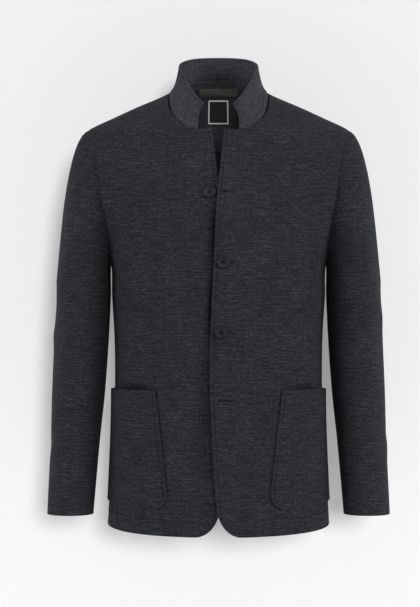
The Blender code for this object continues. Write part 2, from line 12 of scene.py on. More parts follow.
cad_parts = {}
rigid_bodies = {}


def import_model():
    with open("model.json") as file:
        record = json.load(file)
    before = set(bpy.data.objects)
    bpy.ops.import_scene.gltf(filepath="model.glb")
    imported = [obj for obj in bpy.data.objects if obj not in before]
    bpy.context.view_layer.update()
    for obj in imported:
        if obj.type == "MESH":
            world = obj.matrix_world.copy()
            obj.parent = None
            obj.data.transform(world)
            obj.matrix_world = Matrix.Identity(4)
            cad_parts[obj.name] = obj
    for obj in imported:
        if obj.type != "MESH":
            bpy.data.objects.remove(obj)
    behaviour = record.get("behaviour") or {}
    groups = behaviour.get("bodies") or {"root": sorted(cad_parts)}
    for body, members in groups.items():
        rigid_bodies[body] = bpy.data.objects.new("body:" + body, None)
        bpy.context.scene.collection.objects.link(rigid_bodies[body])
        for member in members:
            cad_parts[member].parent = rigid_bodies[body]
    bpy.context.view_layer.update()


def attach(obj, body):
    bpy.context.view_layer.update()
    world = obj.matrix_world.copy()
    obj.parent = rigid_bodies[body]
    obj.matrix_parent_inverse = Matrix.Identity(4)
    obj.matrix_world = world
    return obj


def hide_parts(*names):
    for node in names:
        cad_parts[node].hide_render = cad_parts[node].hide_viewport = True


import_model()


# FRONTS
# Two panels of soft melange wool, the wearer's left lapped over the right, each cut in one piece with a
# rounded hem corner. The front edge is turned in and sewn down close to the fold.
MM = 0.001
CLOTH = 2.0
FINE = 8    # steps of the cloth's grid for each step of the part's own wall

# The form under the cloth, one row a level section, from below the hem up to the back of the neck.
Section = namedtuple("Section", "height half_width front_depth back_depth squareness")
TORSO = (
    Section(-745, 187.5, 123.0, 122.0, 2.30),
    Section(-620, 180.0, 121.0, 117.0, 2.32),
    Section(-540, 175.5, 119.5, 112.0, 2.35),
    Section(-470, 173.5, 119.0, 108.5, 2.38),
    Section(-400, 174.7, 122.0, 110.0, 2.40),
    Section(-334, 178.7, 126.5, 116.0, 2.40),
    Section(-283, 180.5, 128.0, 121.0, 2.40),
    Section(-208, 204.0, 121.0, 122.0, 2.40),
    Section(-164, 224.0, 111.0, 119.5, 2.30),
    Section(-105, 236.0, 92.0, 112.0, 2.20),
    Section(-72, 230.0, 78.0, 106.0, 2.10),
    Section(-57, 217.0, 70.0, 101.5, 2.05),
    Section(-37, 175.5, 55.0, 94.0, 2.00),
    Section(-20, 138.5, 42.0, 87.0, 2.00),
    Section(4, 84.0, 33.0, 74.0, 2.00),
    Section(20, 66.0, 25.0, 60.0, 2.00),
    Section(34, 54.0, 19.0, 50.0, 2.00),
)

# Hem height is HEM_MIDDLE at the sides, lower by HEM_DROP in front and higher by it at the back.
HEM_MIDDLE = -716.5
HEM_DROP = 15.0
CORNER_RISE = 53.0
CORNER_REACH = 41.0
CORNER_ANGLE = 10    # the angle at which the hem's height is taken for the corner

# Steps of lines that are drawn finely before they are parted into even steps.
LINE_STEPS = 160
HEM_STEPS = 80
CORNER_STEPS = 32

# Front edges: reach is the distance from the centre towards the panel's own side.
EdgeRow = namedtuple("EdgeRow", "height reach")
UPPER_EDGE = (
    EdgeRow(-695, 0.0), EdgeRow(-670, -4.9), EdgeRow(-621, -8.2), EdgeRow(-555, -11.5),
    EdgeRow(-457, -14.7), EdgeRow(-392, -13.4), EdgeRow(-261, -7.4), EdgeRow(-166, -2.4),
    EdgeRow(-122, 2.4), EdgeRow(-58, 9.0),
)
UNDER_EDGE = (
    EdgeRow(-695, 0.0), EdgeRow(-620, -10.0), EdgeRow(-506, -17.0), EdgeRow(-395, -20.0),
    EdgeRow(-281, -21.5), EdgeRow(-211, -12.0), EdgeRow(-166, -3.0), EdgeRow(-143, 0.8),
    EdgeRow(-122, 3.4), EdgeRow(-58, 11.6),
)
FRONT_TOP = -58.0

NeckRow = namedtuple("NeckRow", "height half_width")
FRONT_NECK = (
    NeckRow(-60.8, 34.5), NeckRow(-59.0, 43.7), NeckRow(-54.8, 55.1), NeckRow(-47.1, 66.6),
    NeckRow(-39.1, 74.4), NeckRow(-28.8, 80.3), NeckRow(-18.0, 83.7), NeckRow(-6.7, 84.6),
    NeckRow(4.0, 84.0),
)
NECK_SIDE_HEIGHT = 4.0

ARMHOLE_MIDDLE = -170.0
ARMHOLE_HALF_HEIGHT = 113.0
ARMHOLE_HALF_DEPTH = 62.0
ARMHOLE_STEP = 15
FRONT_SEAM_ON_ARMHOLE = 135
FRONT_SEAM_AT_HEM = 63.0

# The upper lap stands off the under lap and fades out towards the side.
LAP_LIFT = 5.6
LAP_FULL_TO = 26.0
LAP_ENDS_AT = 80.0
LAP_STARTS = -75.0
LAP_FULL_BELOW = -150.0

# The turned front edge: a soft roll out to the fold, and the dent of its sewing line.
EDGE_ROLL = 0.5
EDGE_ROLL_RISE = 1.5
EDGE_ROLL_FALL = 3.0
EDGE_SEWN_AT = 6.4
EDGE_DENT = 0.55
DENT_HALF_WIDTH = 1.3
EDGE_COLUMNS = (0.0, 0.2, 0.45, 0.75, 1.05, 1.35, 1.55, 1.75, 1.95, 2.2, 2.6)

# Creases and soft rolls of the body. Run is the way round the cloth from the centre front
# in millimetres, towards the wearer's left. A trough has a rise below zero.
Crease = namedtuple("Crease", "run height to_run to_height half_width rise bow")
CREASE_GENTLE = 1.3    # width of a crease on its gentle side, and on its steep one
CREASE_STEEP = 0.8
FRONT_CREASES = (
    # drag lines at the waist, wearer's left then right
    Crease(118, -352, 196, -330, 8.0, -1.7, 5),
    Crease(108, -378, 202, -352, 10.0, 1.6, 6),
    Crease(104, -398, 190, -378, 8.0, -1.4, 4),
    Crease(130, -425, 205, -412, 10.0, 1.1, -4),
    Crease(-124, -338, -200, -318, 9.0, 1.4, 5),
    Crease(-112, -362, -196, -346, 8.0, -1.5, 6),
    Crease(-128, -392, -204, -384, 11.0, 1.3, -5),
    Crease(-120, -431, -186, -420, 9.0, -1.0, -3),
    # pull from the armhole into the chest
    Crease(152, -212, 90, -262, 16.0, -1.9, 8),
    Crease(168, -250, 120, -300, 14.0, 1.6, 6),
    Crease(-150, -206, -84, -258, 17.0, -1.8, 8),
    Crease(-170, -254, -116, -306, 13.0, 1.7, 6),
    # edge of the chest piece below the collar
    Crease(77, -34, 79, -96, 5.0, 1.0, 1),
    Crease(-78, -38, -80, -98, 5.0, 1.1, 1),
    # long hang of the cloth from the chest to the hem
    Crease(96, -250, 78, -640, 30.0, 1.8, 8),
    Crease(52, -420, 44, -700, 22.0, -1.5, -4),
    Crease(-100, -262, -86, -620, 32.0, 1.9, -8),
    Crease(-78, -520, -70, -722, 20.0, 1.8, 4),
)
# On both sides the body rolls a little over the pocket's mouth and falls in behind it.
MOUTH_CREASES = (
    Crease(108, -478, 188, -478, 9.0, 2.0, 1),
    Crease(100, -496, 200, -496, 7.0, -13.0, 0),
)
# The under front alone falls away beside the lap.
UNDER_CREASES = (
    Crease(1, -176, -5, -300, 14.0, -9.0, 1),
    Crease(-4, -280, -11, -430, 12.0, -8.0, 1),
    Crease(-16, -396, -18, -722, 32.0, -7.5, 3),
)
# The same for the back: run is measured from the centre back towards the wearer's left.
BACK_CREASES = (
    Crease(64, -96, 96, -330, 34.0, 2.6, 10),
    Crease(-70, -92, -104, -318, 36.0, 2.4, -10),
    Crease(0, -150, 4, -420, 40.0, -3.0, 4),
    Crease(-96, -402, 84, -392, 16.0, -1.9, 9),
    Crease(-118, -432, 52, -440, 14.0, 1.6, -8),
    Crease(-40, -474, 128, -452, 15.0, -1.5, 7),
    Crease(140, -236, 92, -300, 14.0, -2.0, 7),
    Crease(-146, -230, -98, -306, 15.0, -2.2, 7),
    Crease(-62, -470, -74, -712, 30.0, 2.6, 5),
    Crease(34, -500, 40, -708, 26.0, -2.4, 3),
    Crease(112, -480, 118, -706, 28.0, 2.2, -5),
    Crease(-158, -520, -150, -712, 24.0, -2.2, 4),
)


def signed_power(value, power):
    return math.copysign(abs(value) ** power, value)


def mirrored(vector, side):
    """A vector of the wearer's left half, taken to its side: 1 is the left and -1 the right."""
    return Vector((vector.x * side, vector.y, vector.z))


def smooth_step(share):
    share = min(max(share, 0.0), 1.0)
    return share * share * (3 - 2 * share)


def along(rows, at):
    """The columns of a table at any key, on a smooth curve through its rows."""
    keys = [row[0] for row in rows]
    at = min(max(at, keys[0]), keys[-1])
    low = min(bisect_right(keys, at) - 1, len(rows) - 2)
    span = keys[low + 1] - keys[low]
    t = (at - keys[low]) / span
    before = max(low - 1, 0)
    after = min(low + 2, len(rows) - 1)
    leave_by = span / (keys[low + 1] - keys[before])
    arrive_by = span / (keys[after] - keys[low])
    values = [at]
    for column in range(1, len(rows[0])):
        start = rows[low][column]
        end = rows[low + 1][column]
        leave = (end - rows[before][column]) * leave_by
        arrive = (rows[after][column] - start) * arrive_by
        values.append((2 * t**3 - 3 * t**2 + 1) * start + (t**3 - 2 * t**2 + t) * leave
                      + (3 * t**2 - 2 * t**3) * end + (t**3 - t**2) * arrive)
    return type(rows[0])(*values)


def torso_point(angle, height):
    """A point of the form. Angle 0 is the centre front, 90 the wearer's left side, 180 the centre back."""
    section = along(TORSO, height)
    turn = math.radians(angle)
    power = 2 / section.squareness
    depth = section.front_depth if math.cos(turn) > 0 else section.back_depth
    return Vector((section.half_width * signed_power(math.sin(turn), power),
                   -depth * signed_power(math.cos(turn), power),
                   height))


def torso_normal(angle, height):
    across = torso_point(angle + 0.5, height) - torso_point(angle - 0.5, height)
    up = torso_point(angle, height + 1) - torso_point(angle, height - 1)
    return across.cross(up).normalized()


def angle_at_width(width, height):
    section = along(TORSO, height)
    share = min(max(width / section.half_width, -1), 1)
    return math.degrees(math.asin(signed_power(share, section.squareness / 2)))


def angle_at_depth(depth, height):
    section = along(TORSO, height)
    reach = section.front_depth if depth < 0 else section.back_depth
    angle = math.degrees(math.acos(min((abs(depth) / reach) ** (section.squareness / 2), 1)))
    return angle if depth < 0 else 180 - angle


def hem_height(angle):
    return HEM_MIDDLE - HEM_DROP * math.cos(math.radians(angle))


def armhole_place(turn):
    """Angle and height of the armhole seam, from 0 at the shoulder through the front to 360."""
    swing = math.radians(turn)
    height = ARMHOLE_MIDDLE + ARMHOLE_HALF_HEIGHT * math.cos(swing)
    return angle_at_depth(-ARMHOLE_HALF_DEPTH * math.sin(swing), height), height


def armhole_places(first, last):
    steps = (last - first) // ARMHOLE_STEP * FINE
    return [armhole_place(first + (last - first) * i / steps) for i in range(steps + 1)]


def straight(start, end, steps):
    return [(start[0] + (end[0] - start[0]) * i / steps, start[1] + (end[1] - start[1]) * i / steps)
            for i in range(steps + 1)]


def spread(places, steps):
    """The same line of angles and heights, parted into steps of equal length on the form."""
    points = [torso_point(*place) for place in places]
    lengths = [0.0]
    for before, after in zip(points, points[1:]):
        lengths.append(lengths[-1] + (after - before).length)
    even = []
    for i in range(steps + 1):
        wanted = lengths[-1] * i / steps
        low = min(bisect_right(lengths, wanted) - 1, len(places) - 2)
        t = (wanted - lengths[low]) / (lengths[low + 1] - lengths[low])
        even.append(tuple(a + (b - a) * t for a, b in zip(places[low], places[low + 1])))
    return even


def chain(*lines):
    """Lines that follow each other, joined with their shared ends once."""
    joined = list(lines[0])
    for line in lines[1:]:
        joined += line[1:]
    return joined


def between(line, at):
    """A line's place at a whole or part step."""
    low = min(int(at), len(line) - 2)
    return tuple(a + (b - a) * (at - low) for a, b in zip(line[low], line[low + 1]))


def fill_panel(left, right, bottom, top, columns=None):
    """A panel's places, column by column, between four edges that share their corners."""
    last = len(bottom) - 1
    rows = len(left) - 1
    grid = []
    for i in columns or range(last + 1):
        u = i / last
        foot = between(bottom, i)
        head = between(top, i)
        line = []
        for j in range(rows + 1):
            v = j / rows
            line.append(tuple(
                (1 - u) * left[j][k] + u * right[j][k] + (1 - v) * foot[k] + v * head[k]
                - (1 - u) * (1 - v) * bottom[0][k] - u * (1 - v) * bottom[last][k]
                - (1 - u) * v * top[0][k] - u * v * top[last][k]
                for k in (0, 1)))
        grid.append(line)
    return grid


# Sewn seams are pressed flat into a fine groove, so panels have closer columns beside them.
SEAM_LINES = (0.0, 0.25, 0.5, 0.8, 1.2, 1.7, 2.3)
SEAM_DEPTH = 1.8
SEAM_HALF_WIDTH = 1.6


def seam_columns(last, at_start, at_end):
    columns = list(range(last + 1))
    if at_start:
        columns = list(SEAM_LINES) + [i for i in columns if i > SEAM_LINES[-1]]
    if at_end:
        columns = [i for i in columns if i < last - SEAM_LINES[-1]] + [last - at for at in SEAM_LINES[::-1]]
    return columns


def press_seam(outer, inner, at_start, at_end, rows):
    """The groove along the first or last columns of a panel, over its lower rows."""
    ends = ([0] if at_start else []) + ([len(outer) - 1] if at_end else [])
    for end in ends:
        step = 1 if end == 0 else -1
        for j in range(rows):
            seam = outer[end][j].copy()
            for k in range(len(SEAM_LINES)):
                i = end + step * k
                dent = SEAM_DEPTH * math.exp(-((outer[i][j] - seam).length / SEAM_HALF_WIDTH) ** 2)
                sink = (inner[i][j] - outer[i][j]).normalized() * dent
                outer[i][j] = outer[i][j] + sink
                inner[i][j] = inner[i][j] + sink


# Lengths of cloth on the form: round it from the centre front, and up it from the hem.
RUN_ANGLES = 60
RUN_HEIGHTS = 52
RUN_LOW = -745.0
RUN_HIGH = 34.0
form_points = [[torso_point(180 * a / RUN_ANGLES, RUN_LOW + (RUN_HIGH - RUN_LOW) * h / RUN_HEIGHTS)
                for h in range(RUN_HEIGHTS + 1)] for a in range(RUN_ANGLES + 1)]
run_round = [[0.0] * (RUN_HEIGHTS + 1)]
for before, after in zip(form_points, form_points[1:]):
    run_round.append([run + (q - p).length for run, p, q in zip(run_round[-1], before, after)])
run_up = []
for line in form_points:
    lengths = [0.0]
    for before, after in zip(line, line[1:]):
        lengths.append(lengths[-1] + (after - before).length)
    run_up.append(lengths)


def cloth_run(lengths, angle, height):
    """A length of cloth read from one of the two tables."""
    a = min(abs(angle) / 180, 1.0) * RUN_ANGLES
    h = min(max((height - RUN_LOW) / (RUN_HIGH - RUN_LOW), 0.0), 1.0) * RUN_HEIGHTS
    i = min(int(a), RUN_ANGLES - 1)
    j = min(int(h), RUN_HEIGHTS - 1)
    s = a - i
    t = h - j
    return ((lengths[i][j] * (1 - s) + lengths[i + 1][j] * s) * (1 - t)
            + (lengths[i][j + 1] * (1 - s) + lengths[i + 1][j + 1] * s) * t)


def crease_rise(creases, run, height):
    """How far soft creases move the cloth out at a place.
    Each fades towards its ends and is steeper on one side."""
    rise = 0.0
    for crease in creases:
        way = crease.to_run - crease.run
        climb = crease.to_height - crease.height
        length = math.hypot(way, climb)
        t = ((run - crease.run) * way + (height - crease.height) * climb) / length**2
        if 0 < t < 1:
            off = ((height - crease.height) * way - (run - crease.run) * climb) / length
            off -= crease.bow * 4 * t * (1 - t)
            wide = crease.half_width * (CREASE_GENTLE if off > 0 else CREASE_STEEP)
            if abs(off) < 3 * wide:
                rise += crease.rise * math.exp(-(off / wide) ** 2) * math.sin(math.pi * t) ** 1.2
    return rise


def body_rise(side, angle, height):
    """The body's creases at a place, the same for both panels that meet there."""
    run = math.copysign(cloth_run(run_round, angle, height), angle)
    half = cloth_run(run_round, 180, height)
    rise = crease_rise(FRONT_CREASES, side * run, height)
    rise += crease_rise(BACK_CREASES, side * (half - run), height)
    rise += crease_rise(MOUTH_CREASES, run, height)
    if side < 0:
        rise += crease_rise(UNDER_CREASES, side * run, height)
    return rise


def body_place(side, angle, height, out=0.0):
    """A point of the creased body and the direction out of the form there, on the left or right side."""
    normal = torso_normal(angle, height)
    point = torso_point(angle, height) + normal * (out + body_rise(side, angle, height))
    return mirrored(point, side), mirrored(normal, side)


def body_weave(side, angle, height, shift):
    """The cloth's own place in metres: along the weft and up the warp."""
    run = math.copysign(cloth_run(run_round, angle, height), angle)
    return ((side * run + shift) * MM, (cloth_run(run_up, angle, height) + 0.4 * shift) * MM)


def on_body(grid, side, out, thick, shift):
    """Outer and inner points of a cloth on the body, and its weave, out by out(angle, height)."""
    outer = []
    inner = []
    weave = []
    for line in grid:
        outer_line = []
        inner_line = []
        for angle, height in line:
            point, normal = body_place(side, angle, height, out(angle, height))
            outer_line.append(point)
            inner_line.append(point - normal * thick)
        outer.append(outer_line)
        inner.append(inner_line)
        weave.append([body_weave(side, angle, height, shift) for angle, height in line])
    return outer, inner, weave


def lap_lift(angle, height):
    across = torso_point(angle, height).x
    sideways = smooth_step((LAP_ENDS_AT - across) / (LAP_ENDS_AT - LAP_FULL_TO))
    down = smooth_step((LAP_STARTS - height) / (LAP_STARTS - LAP_FULL_BELOW))
    return LAP_LIFT * sideways * down


def flush(angle, height):
    return 0.0


def add_node(tree, kind, inputs=None, **settings):
    """A node with its settings, and with its inputs set or linked."""
    node = tree.nodes.new(kind)
    for name, value in settings.items():
        setattr(node, name, value)
    for name, value in (inputs or {}).items():
        if isinstance(value, bpy.types.NodeSocket):
            tree.links.new(value, node.inputs[name])
        else:
            node.inputs[name].default_value = value
    return node


def linear(hex_colour):
    """An sRGB hex colour as linear RGBA."""
    values = []
    for k in (1, 3, 5):
        c = int(hex_colour[k:k + 2], 16) / 255
        values.append(c / 12.92 if c <= 0.04045 else ((c + 0.055) / 1.055) ** 2.4)
    return (*values, 1.0)


def mixed(tree, factor, first, second):
    """The colour between two others, by a factor."""
    inputs = {"Factor": factor, "A": first, "B": second}
    return add_node(tree, "ShaderNodeMix", inputs, data_type="RGBA").outputs["Result"]


def new_material(name, roughness, specular):
    """A material, its node tree and its shader."""
    material = bpy.data.materials.new(name)
    material.use_nodes = True
    tree = material.node_tree
    shader = tree.nodes["Principled BSDF"]
    shader.inputs["Roughness"].default_value = roughness
    shader.inputs["Specular IOR Level"].default_value = specular
    return material, tree, shader


def take_mesh(name, shape):
    """The mesh of a finished shape."""
    mesh = bpy.data.meshes.new(name)
    shape.to_mesh(mesh)
    shape.free()
    return mesh


def add_object(name, data):
    thing = bpy.data.objects.new(name, data)
    bpy.context.scene.collection.objects.link(thing)
    return thing


def melange_wool(name, dark, middle, light):
    """Fulled melange wool: long level slubs of uneven yarn, short flecks of mixed fibre and a soft nap.
    The yarns are about 1 mm, drawn at twice that so that they show at the picture's scale."""
    material, tree, shader = new_material(name, 0.92, 0.12)
    weave = add_node(tree, "ShaderNodeUVMap", uv_map="weave").outputs["UV"]

    def yarns(length, height, detail, roughness):
        scale = (1 / (length * MM), 1 / (height * MM), 1)
        spot = add_node(tree, "ShaderNodeMapping", {"Vector": weave, "Scale": scale}, vector_type="POINT")
        noise = add_node(tree, "ShaderNodeTexNoise",
                         {"Vector": spot.outputs["Vector"], "Scale": 1.0, "Detail": detail,
                          "Roughness": roughness})
        return noise.outputs["Fac"]

    layers = (    # noise of one size of yarn or fibre, and its weight
        (yarns(30, 3.2, 2.0, 0.6), 0.36),
        (yarns(7, 2.4, 2.0, 0.65), 0.44),
        (yarns(2.4, 1.8, 1.0, 0.5), 0.44),
        (yarns(120, 60, 1.0, 0.5), 0.08),
    )
    tone = 0.5 - sum(weight for noise, weight in layers) / 2
    for noise, weight in layers:
        inputs = {0: noise, 1: weight, 2: tone}
        tone = add_node(tree, "ShaderNodeMath", inputs, operation="MULTIPLY_ADD").outputs[0]
    ramp = add_node(tree, "ShaderNodeValToRGB", {"Fac": tone})
    stops = ramp.color_ramp.elements
    stops[0].position = 0.32
    stops[0].color = linear(dark)
    stops[1].position = 0.70
    stops[1].color = linear(light)
    centre = stops.new(0.50)
    centre.color = linear(middle)
    bump = add_node(tree, "ShaderNodeBump",
                    {"Strength": 0.35, "Distance": 0.5 * MM, "Height": tone})
    tree.links.new(ramp.outputs["Color"], shader.inputs["Base Color"])
    tree.links.new(bump.outputs["Normal"], shader.inputs["Normal"])
    shader.inputs["Sheen Weight"].default_value = 0.03
    shader.inputs["Sheen Roughness"].default_value = 0.45
    shader.inputs["Sheen Tint"].default_value = linear("#9a9aa2")
    return material


SEWN_RIM = 0.12
FREE_RIM = 0.8


def sew_shell(name, outer, inner, weave, material, rim, free=None):
    """A closed cloth wall: a grid is drawn out into a slab, each corner goes to its place and the rim is
    rounded. Where free(i, j) says so the rim is a turned edge, and elsewhere it is sewn and stays close."""
    columns = len(outer) - 1
    rows = len(outer[0]) - 1
    slab = bmesh.new()
    bmesh.ops.create_grid(slab, x_segments=columns, y_segments=rows, size=1)
    drawn = bmesh.ops.extrude_face_region(slab, geom=slab.faces[:])
    for corner in drawn["geom"]:
        if isinstance(corner, bmesh.types.BMVert):
            corner.co.z = 1
    spot = {}
    for corner in slab.verts:
        i = round((corner.co.x + 1) / 2 * columns)
        j = round((corner.co.y + 1) / 2 * rows)
        spot[corner] = (i, j, corner.co.z > 0.5)
    for corner, (i, j, deep) in spot.items():
        corner.co = (inner if deep else outer)[i][j] * MM
    layer = slab.loops.layers.uv.new("weave")
    for face in slab.faces:
        for loop in face.loops:
            i, j, deep = spot[loop.vert]
            loop[layer].uv = weave[i][j]
    walls = {face for face in slab.faces if len({spot[corner][2] for corner in face.verts}) == 2}
    turned = []
    sewn = []
    for edge in slab.edges:
        level = spot[edge.verts[0]][2] == spot[edge.verts[1]][2]
        if level and any(face in walls for face in edge.link_faces):
            loose = free and all(free(*spot[corner][:2]) for corner in edge.verts)
            (turned if loose else sewn).append(edge)
    bmesh.ops.recalc_face_normals(slab, faces=slab.faces[:])
    if slab.calc_volume(signed=True) < 0:
        bmesh.ops.reverse_faces(slab, faces=slab.faces[:])
    for edges, offset in ((turned, FREE_RIM), (sewn, rim)):
        edges = [edge for edge in edges if edge.is_valid]
        if edges:
            bmesh.ops.bevel(slab, geom=edges, offset=offset * MM, offset_type="OFFSET", segments=2,
                            profile=0.5, affect="EDGES", material=-1, clamp_overlap=True)
    mesh = take_mesh(name, slab)
    mesh.shade_smooth()
    mesh.materials.append(material)
    piece = add_object(name, mesh)
    even = piece.modifiers.new("even shading", "WEIGHTED_NORMAL")
    even.keep_sharp = True
    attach(piece, "root")
    return piece


def front_rim(i, j):
    """The front edge, neckline and hem of a front are turned, and the rest of its rim is sewn."""
    return i == 0 or j == 0


def front_side_seam():
    return straight((FRONT_SEAM_AT_HEM, hem_height(FRONT_SEAM_AT_HEM)),
                    armhole_place(FRONT_SEAM_ON_ARMHOLE), 12 * FINE)


def shoulder_seam():
    return straight((90.0, NECK_SIDE_HEIGHT), armhole_place(0), 10 * FINE)


def front_neckline(steps):
    lowest = FRONT_NECK[0].height
    heights = [lowest + (NECK_SIDE_HEIGHT - lowest) * i / LINE_STEPS for i in range(LINE_STEPS + 1)]
    return spread([(angle_at_width(along(FRONT_NECK, h).half_width, h), h) for h in heights], steps)


def front_panel(edge):
    """Places of a front, between its rounded hem corner, front edge, top edge, neckline, shoulder, armhole
    and side seam."""
    centre_height = hem_height(CORNER_ANGLE) + CORNER_RISE
    centre_reach = along(edge, centre_height).reach + CORNER_REACH

    def corner_place(turn):
        swing = math.radians(turn)
        height = centre_height - CORNER_RISE * math.sin(swing)
        return angle_at_width(centre_reach - CORNER_REACH * math.cos(swing), height), height

    def edge_place(height):
        return angle_at_width(along(edge, height).reach, height), height

    corner_up = [corner_place(45 - 45 * i / CORNER_STEPS) for i in range(CORNER_STEPS + 1)]
    corner_in = [corner_place(45 + 45 * i / CORNER_STEPS) for i in range(CORNER_STEPS + 1)]
    tall = FRONT_TOP - centre_height
    edge_up = [edge_place(centre_height + tall * i / LINE_STEPS) for i in range(LINE_STEPS + 1)]
    neckline = front_neckline(5 * FINE)
    start = corner_in[-1][0]
    angles = [start + (FRONT_SEAM_AT_HEM - start) * i / HEM_STEPS for i in range(HEM_STEPS + 1)]
    hem = [corner_in[-1]] + [(angle, hem_height(angle)) for angle in angles[1:]]
    left = chain(spread(corner_up, 2 * FINE), spread(edge_up, 12 * FINE),
                 straight(edge_up[-1], neckline[0], 2 * FINE), neckline)
    right = chain(front_side_seam(), armhole_places(0, FRONT_SEAM_ON_ARMHOLE)[::-1])
    bottom = chain(spread(corner_in, 2 * FINE), spread(hem, 8 * FINE))
    columns = list(EDGE_COLUMNS) + [i for i in seam_columns(10 * FINE, False, True) if i >= 3]
    return fill_panel(left, right, bottom, shoulder_seam(), columns)


def turn_edge(outer, inner, rows):
    """The roll of a turned front edge and the dent where it is sewn down, along a panel's first columns."""
    for j in range(rows):
        first = outer[0][j].copy()
        for i in range(len(EDGE_COLUMNS) + 2):
            away = (outer[i][j] - first).length
            fall = smooth_step((EDGE_SEWN_AT - away) / EDGE_ROLL_FALL)
            roll = EDGE_ROLL * smooth_step(away / EDGE_ROLL_RISE) * fall
            dent = EDGE_DENT * math.exp(-((away - EDGE_SEWN_AT) / DENT_HALF_WIDTH) ** 2)
            out = (outer[i][j] - inner[i][j]).normalized()
            outer[i][j] = outer[i][j] + out * (roll - dent)


def sewing_line(outer, rows, away):
    """Points of a panel at a distance from its first column."""
    line = []
    for j in range(rows):
        i = 0
        while (outer[i + 1][j] - outer[0][j]).length < away:
            i += 1
        near = (outer[i][j] - outer[0][j]).length
        far = (outer[i + 1][j] - outer[0][j]).length
        line.append(outer[i][j].lerp(outer[i + 1][j], (away - near) / (far - near)))
    return line


sewing_lines = []
wool = melange_wool("melange_wool", "#131418", "#26282b", "#43454b")
FRONT_EDGE_ROWS = 14 * FINE + 1
SEAM_ROWS = 12 * FINE + 1
CENTRE_BACK_ROWS = 17 * FINE + 1
for name, edge, side, out, shift in (("front_left", UPPER_EDGE, 1, lap_lift, 0),
                                     ("front_right", UNDER_EDGE, -1, flush, 3000)):
    outer, inner, weave = on_body(front_panel(edge), side, out, CLOTH, shift)
    turn_edge(outer, inner, FRONT_EDGE_ROWS)
    press_seam(outer, inner, False, True, SEAM_ROWS)
    sewing_lines.append(sewing_line(outer, FRONT_EDGE_ROWS, EDGE_SEWN_AT))
    front = sew_shell(name + "_cloth", outer, inner, weave, wool, SEWN_RIM, front_rim)
    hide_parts(name)


# SIDE BODIES AND BACK
# A narrow side body under each arm and two back halves, of the same wool, with plain pressed seams. The back
# is shaped by its centre seam and hangs free to a turned hem.
BACK_SEAM_ON_ARMHOLE = 225
BACK_SEAM_AT_HEM = 120.0
NECK_HALF_WIDTH = 84.0
BACK_NECK_RISE = 21.0
BACK_NECK_POWER = 3.5


def back_side_seam():
    return straight((BACK_SEAM_AT_HEM, hem_height(BACK_SEAM_AT_HEM)),
                    armhole_place(BACK_SEAM_ON_ARMHOLE), 12 * FINE)


def back_neck_place(width):
    height = NECK_SIDE_HEIGHT + BACK_NECK_RISE * (1 - abs(width / NECK_HALF_WIDTH) ** BACK_NECK_POWER)
    return 180 - angle_at_width(width, height), height


def back_neckline(steps):
    widths = [NECK_HALF_WIDTH * i / LINE_STEPS for i in range(LINE_STEPS + 1)]
    return spread([back_neck_place(width) for width in widths], steps)


def hem_rim(i, j):
    return j == 0


def side_panel():
    wide = BACK_SEAM_AT_HEM - FRONT_SEAM_AT_HEM
    angles = [FRONT_SEAM_AT_HEM + wide * i / (6 * FINE) for i in range(6 * FINE + 1)]
    hem = [(angle, hem_height(angle)) for angle in angles]
    return fill_panel(front_side_seam(), back_side_seam(), hem,
                      armhole_places(FRONT_SEAM_ON_ARMHOLE, BACK_SEAM_ON_ARMHOLE),
                      seam_columns(6 * FINE, True, True))


def back_panel():
    neckline = back_neckline(4 * FINE)
    angles = [180 + (BACK_SEAM_AT_HEM - 180) * i / HEM_STEPS for i in range(HEM_STEPS + 1)]
    hem = [(angle, hem_height(angle)) for angle in angles]
    left = chain(spread(straight(hem[0], neckline[0], LINE_STEPS), 17 * FINE), neckline)
    right = chain(back_side_seam(), armhole_places(BACK_SEAM_ON_ARMHOLE, 360))
    return fill_panel(left, right, spread(hem, 10 * FINE), shoulder_seam(),
                      seam_columns(10 * FINE, True, True))


for word, side, shift in (("left", 1, 6000), ("right", -1, 9000)):
    outer, inner, weave = on_body(side_panel(), side, flush, CLOTH, shift)
    press_seam(outer, inner, True, True, SEAM_ROWS)
    side_body = sew_shell("side_%s_cloth" % word, outer, inner, weave, wool, SEWN_RIM, hem_rim)
    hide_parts("side_" + word)
    outer, inner, weave = on_body(back_panel(), side, flush, CLOTH, shift + 700)
    press_seam(outer, inner, True, False, CENTRE_BACK_ROWS)
    press_seam(outer, inner, False, True, SEAM_ROWS)
    back = sew_shell("back_%s_cloth" % word, outer, inner, weave, wool, SEWN_RIM, hem_rim)
    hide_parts("back_" + word)


# SLEEVES
# Two-piece sleeves of the same wool, an upper piece and a narrow under piece, set into the armholes with a
# full head. They hang free with plain turned cuffs.
Ring = namedtuple("Ring", "height centre_x centre_y half_width half_depth")
SLEEVE = (
    Ring(-700, 247.8, -20.0, 38.6, 51.0),
    Ring(-658, 245.3, -14.0, 39.5, 54.0),
    Ring(-578, 240.2, -4.0, 41.2, 59.0),
    Ring(-497, 235.2, 4.0, 44.5, 64.0),
    Ring(-415, 230.6, 6.0, 45.8, 68.0),
    Ring(-334, 227.0, 3.0, 46.2, 71.0),
    Ring(-310, 227.1, 1.0, 46.1, 71.5),
)
SLEEVE_HEAD_REACH = 30.0
SLEEVE_PIT_REACH = 3.0
SLEEVE_FORWARD_SWELL = 9.0
SLEEVE_HEAD_DROP = 4.0
SLEEVE_CROWN_PULL = 13.0
SLEEVE_FALL_SHARE = 0.57
SLEEVE_FRONT_SEAM = 150
SLEEVE_BACK_SEAM = 240
SLEEVE_CAP_ROWS = 34
SLEEVE_ARM_ROWS = 86
SLEEVE_DEGREES = 3
SLEEVE_TUCK = 0.9    # the head's first row lies under the edge of the armhole
SLEEVE_SMOOTH_ROWS = 10    # rows over which creases begin below the armhole

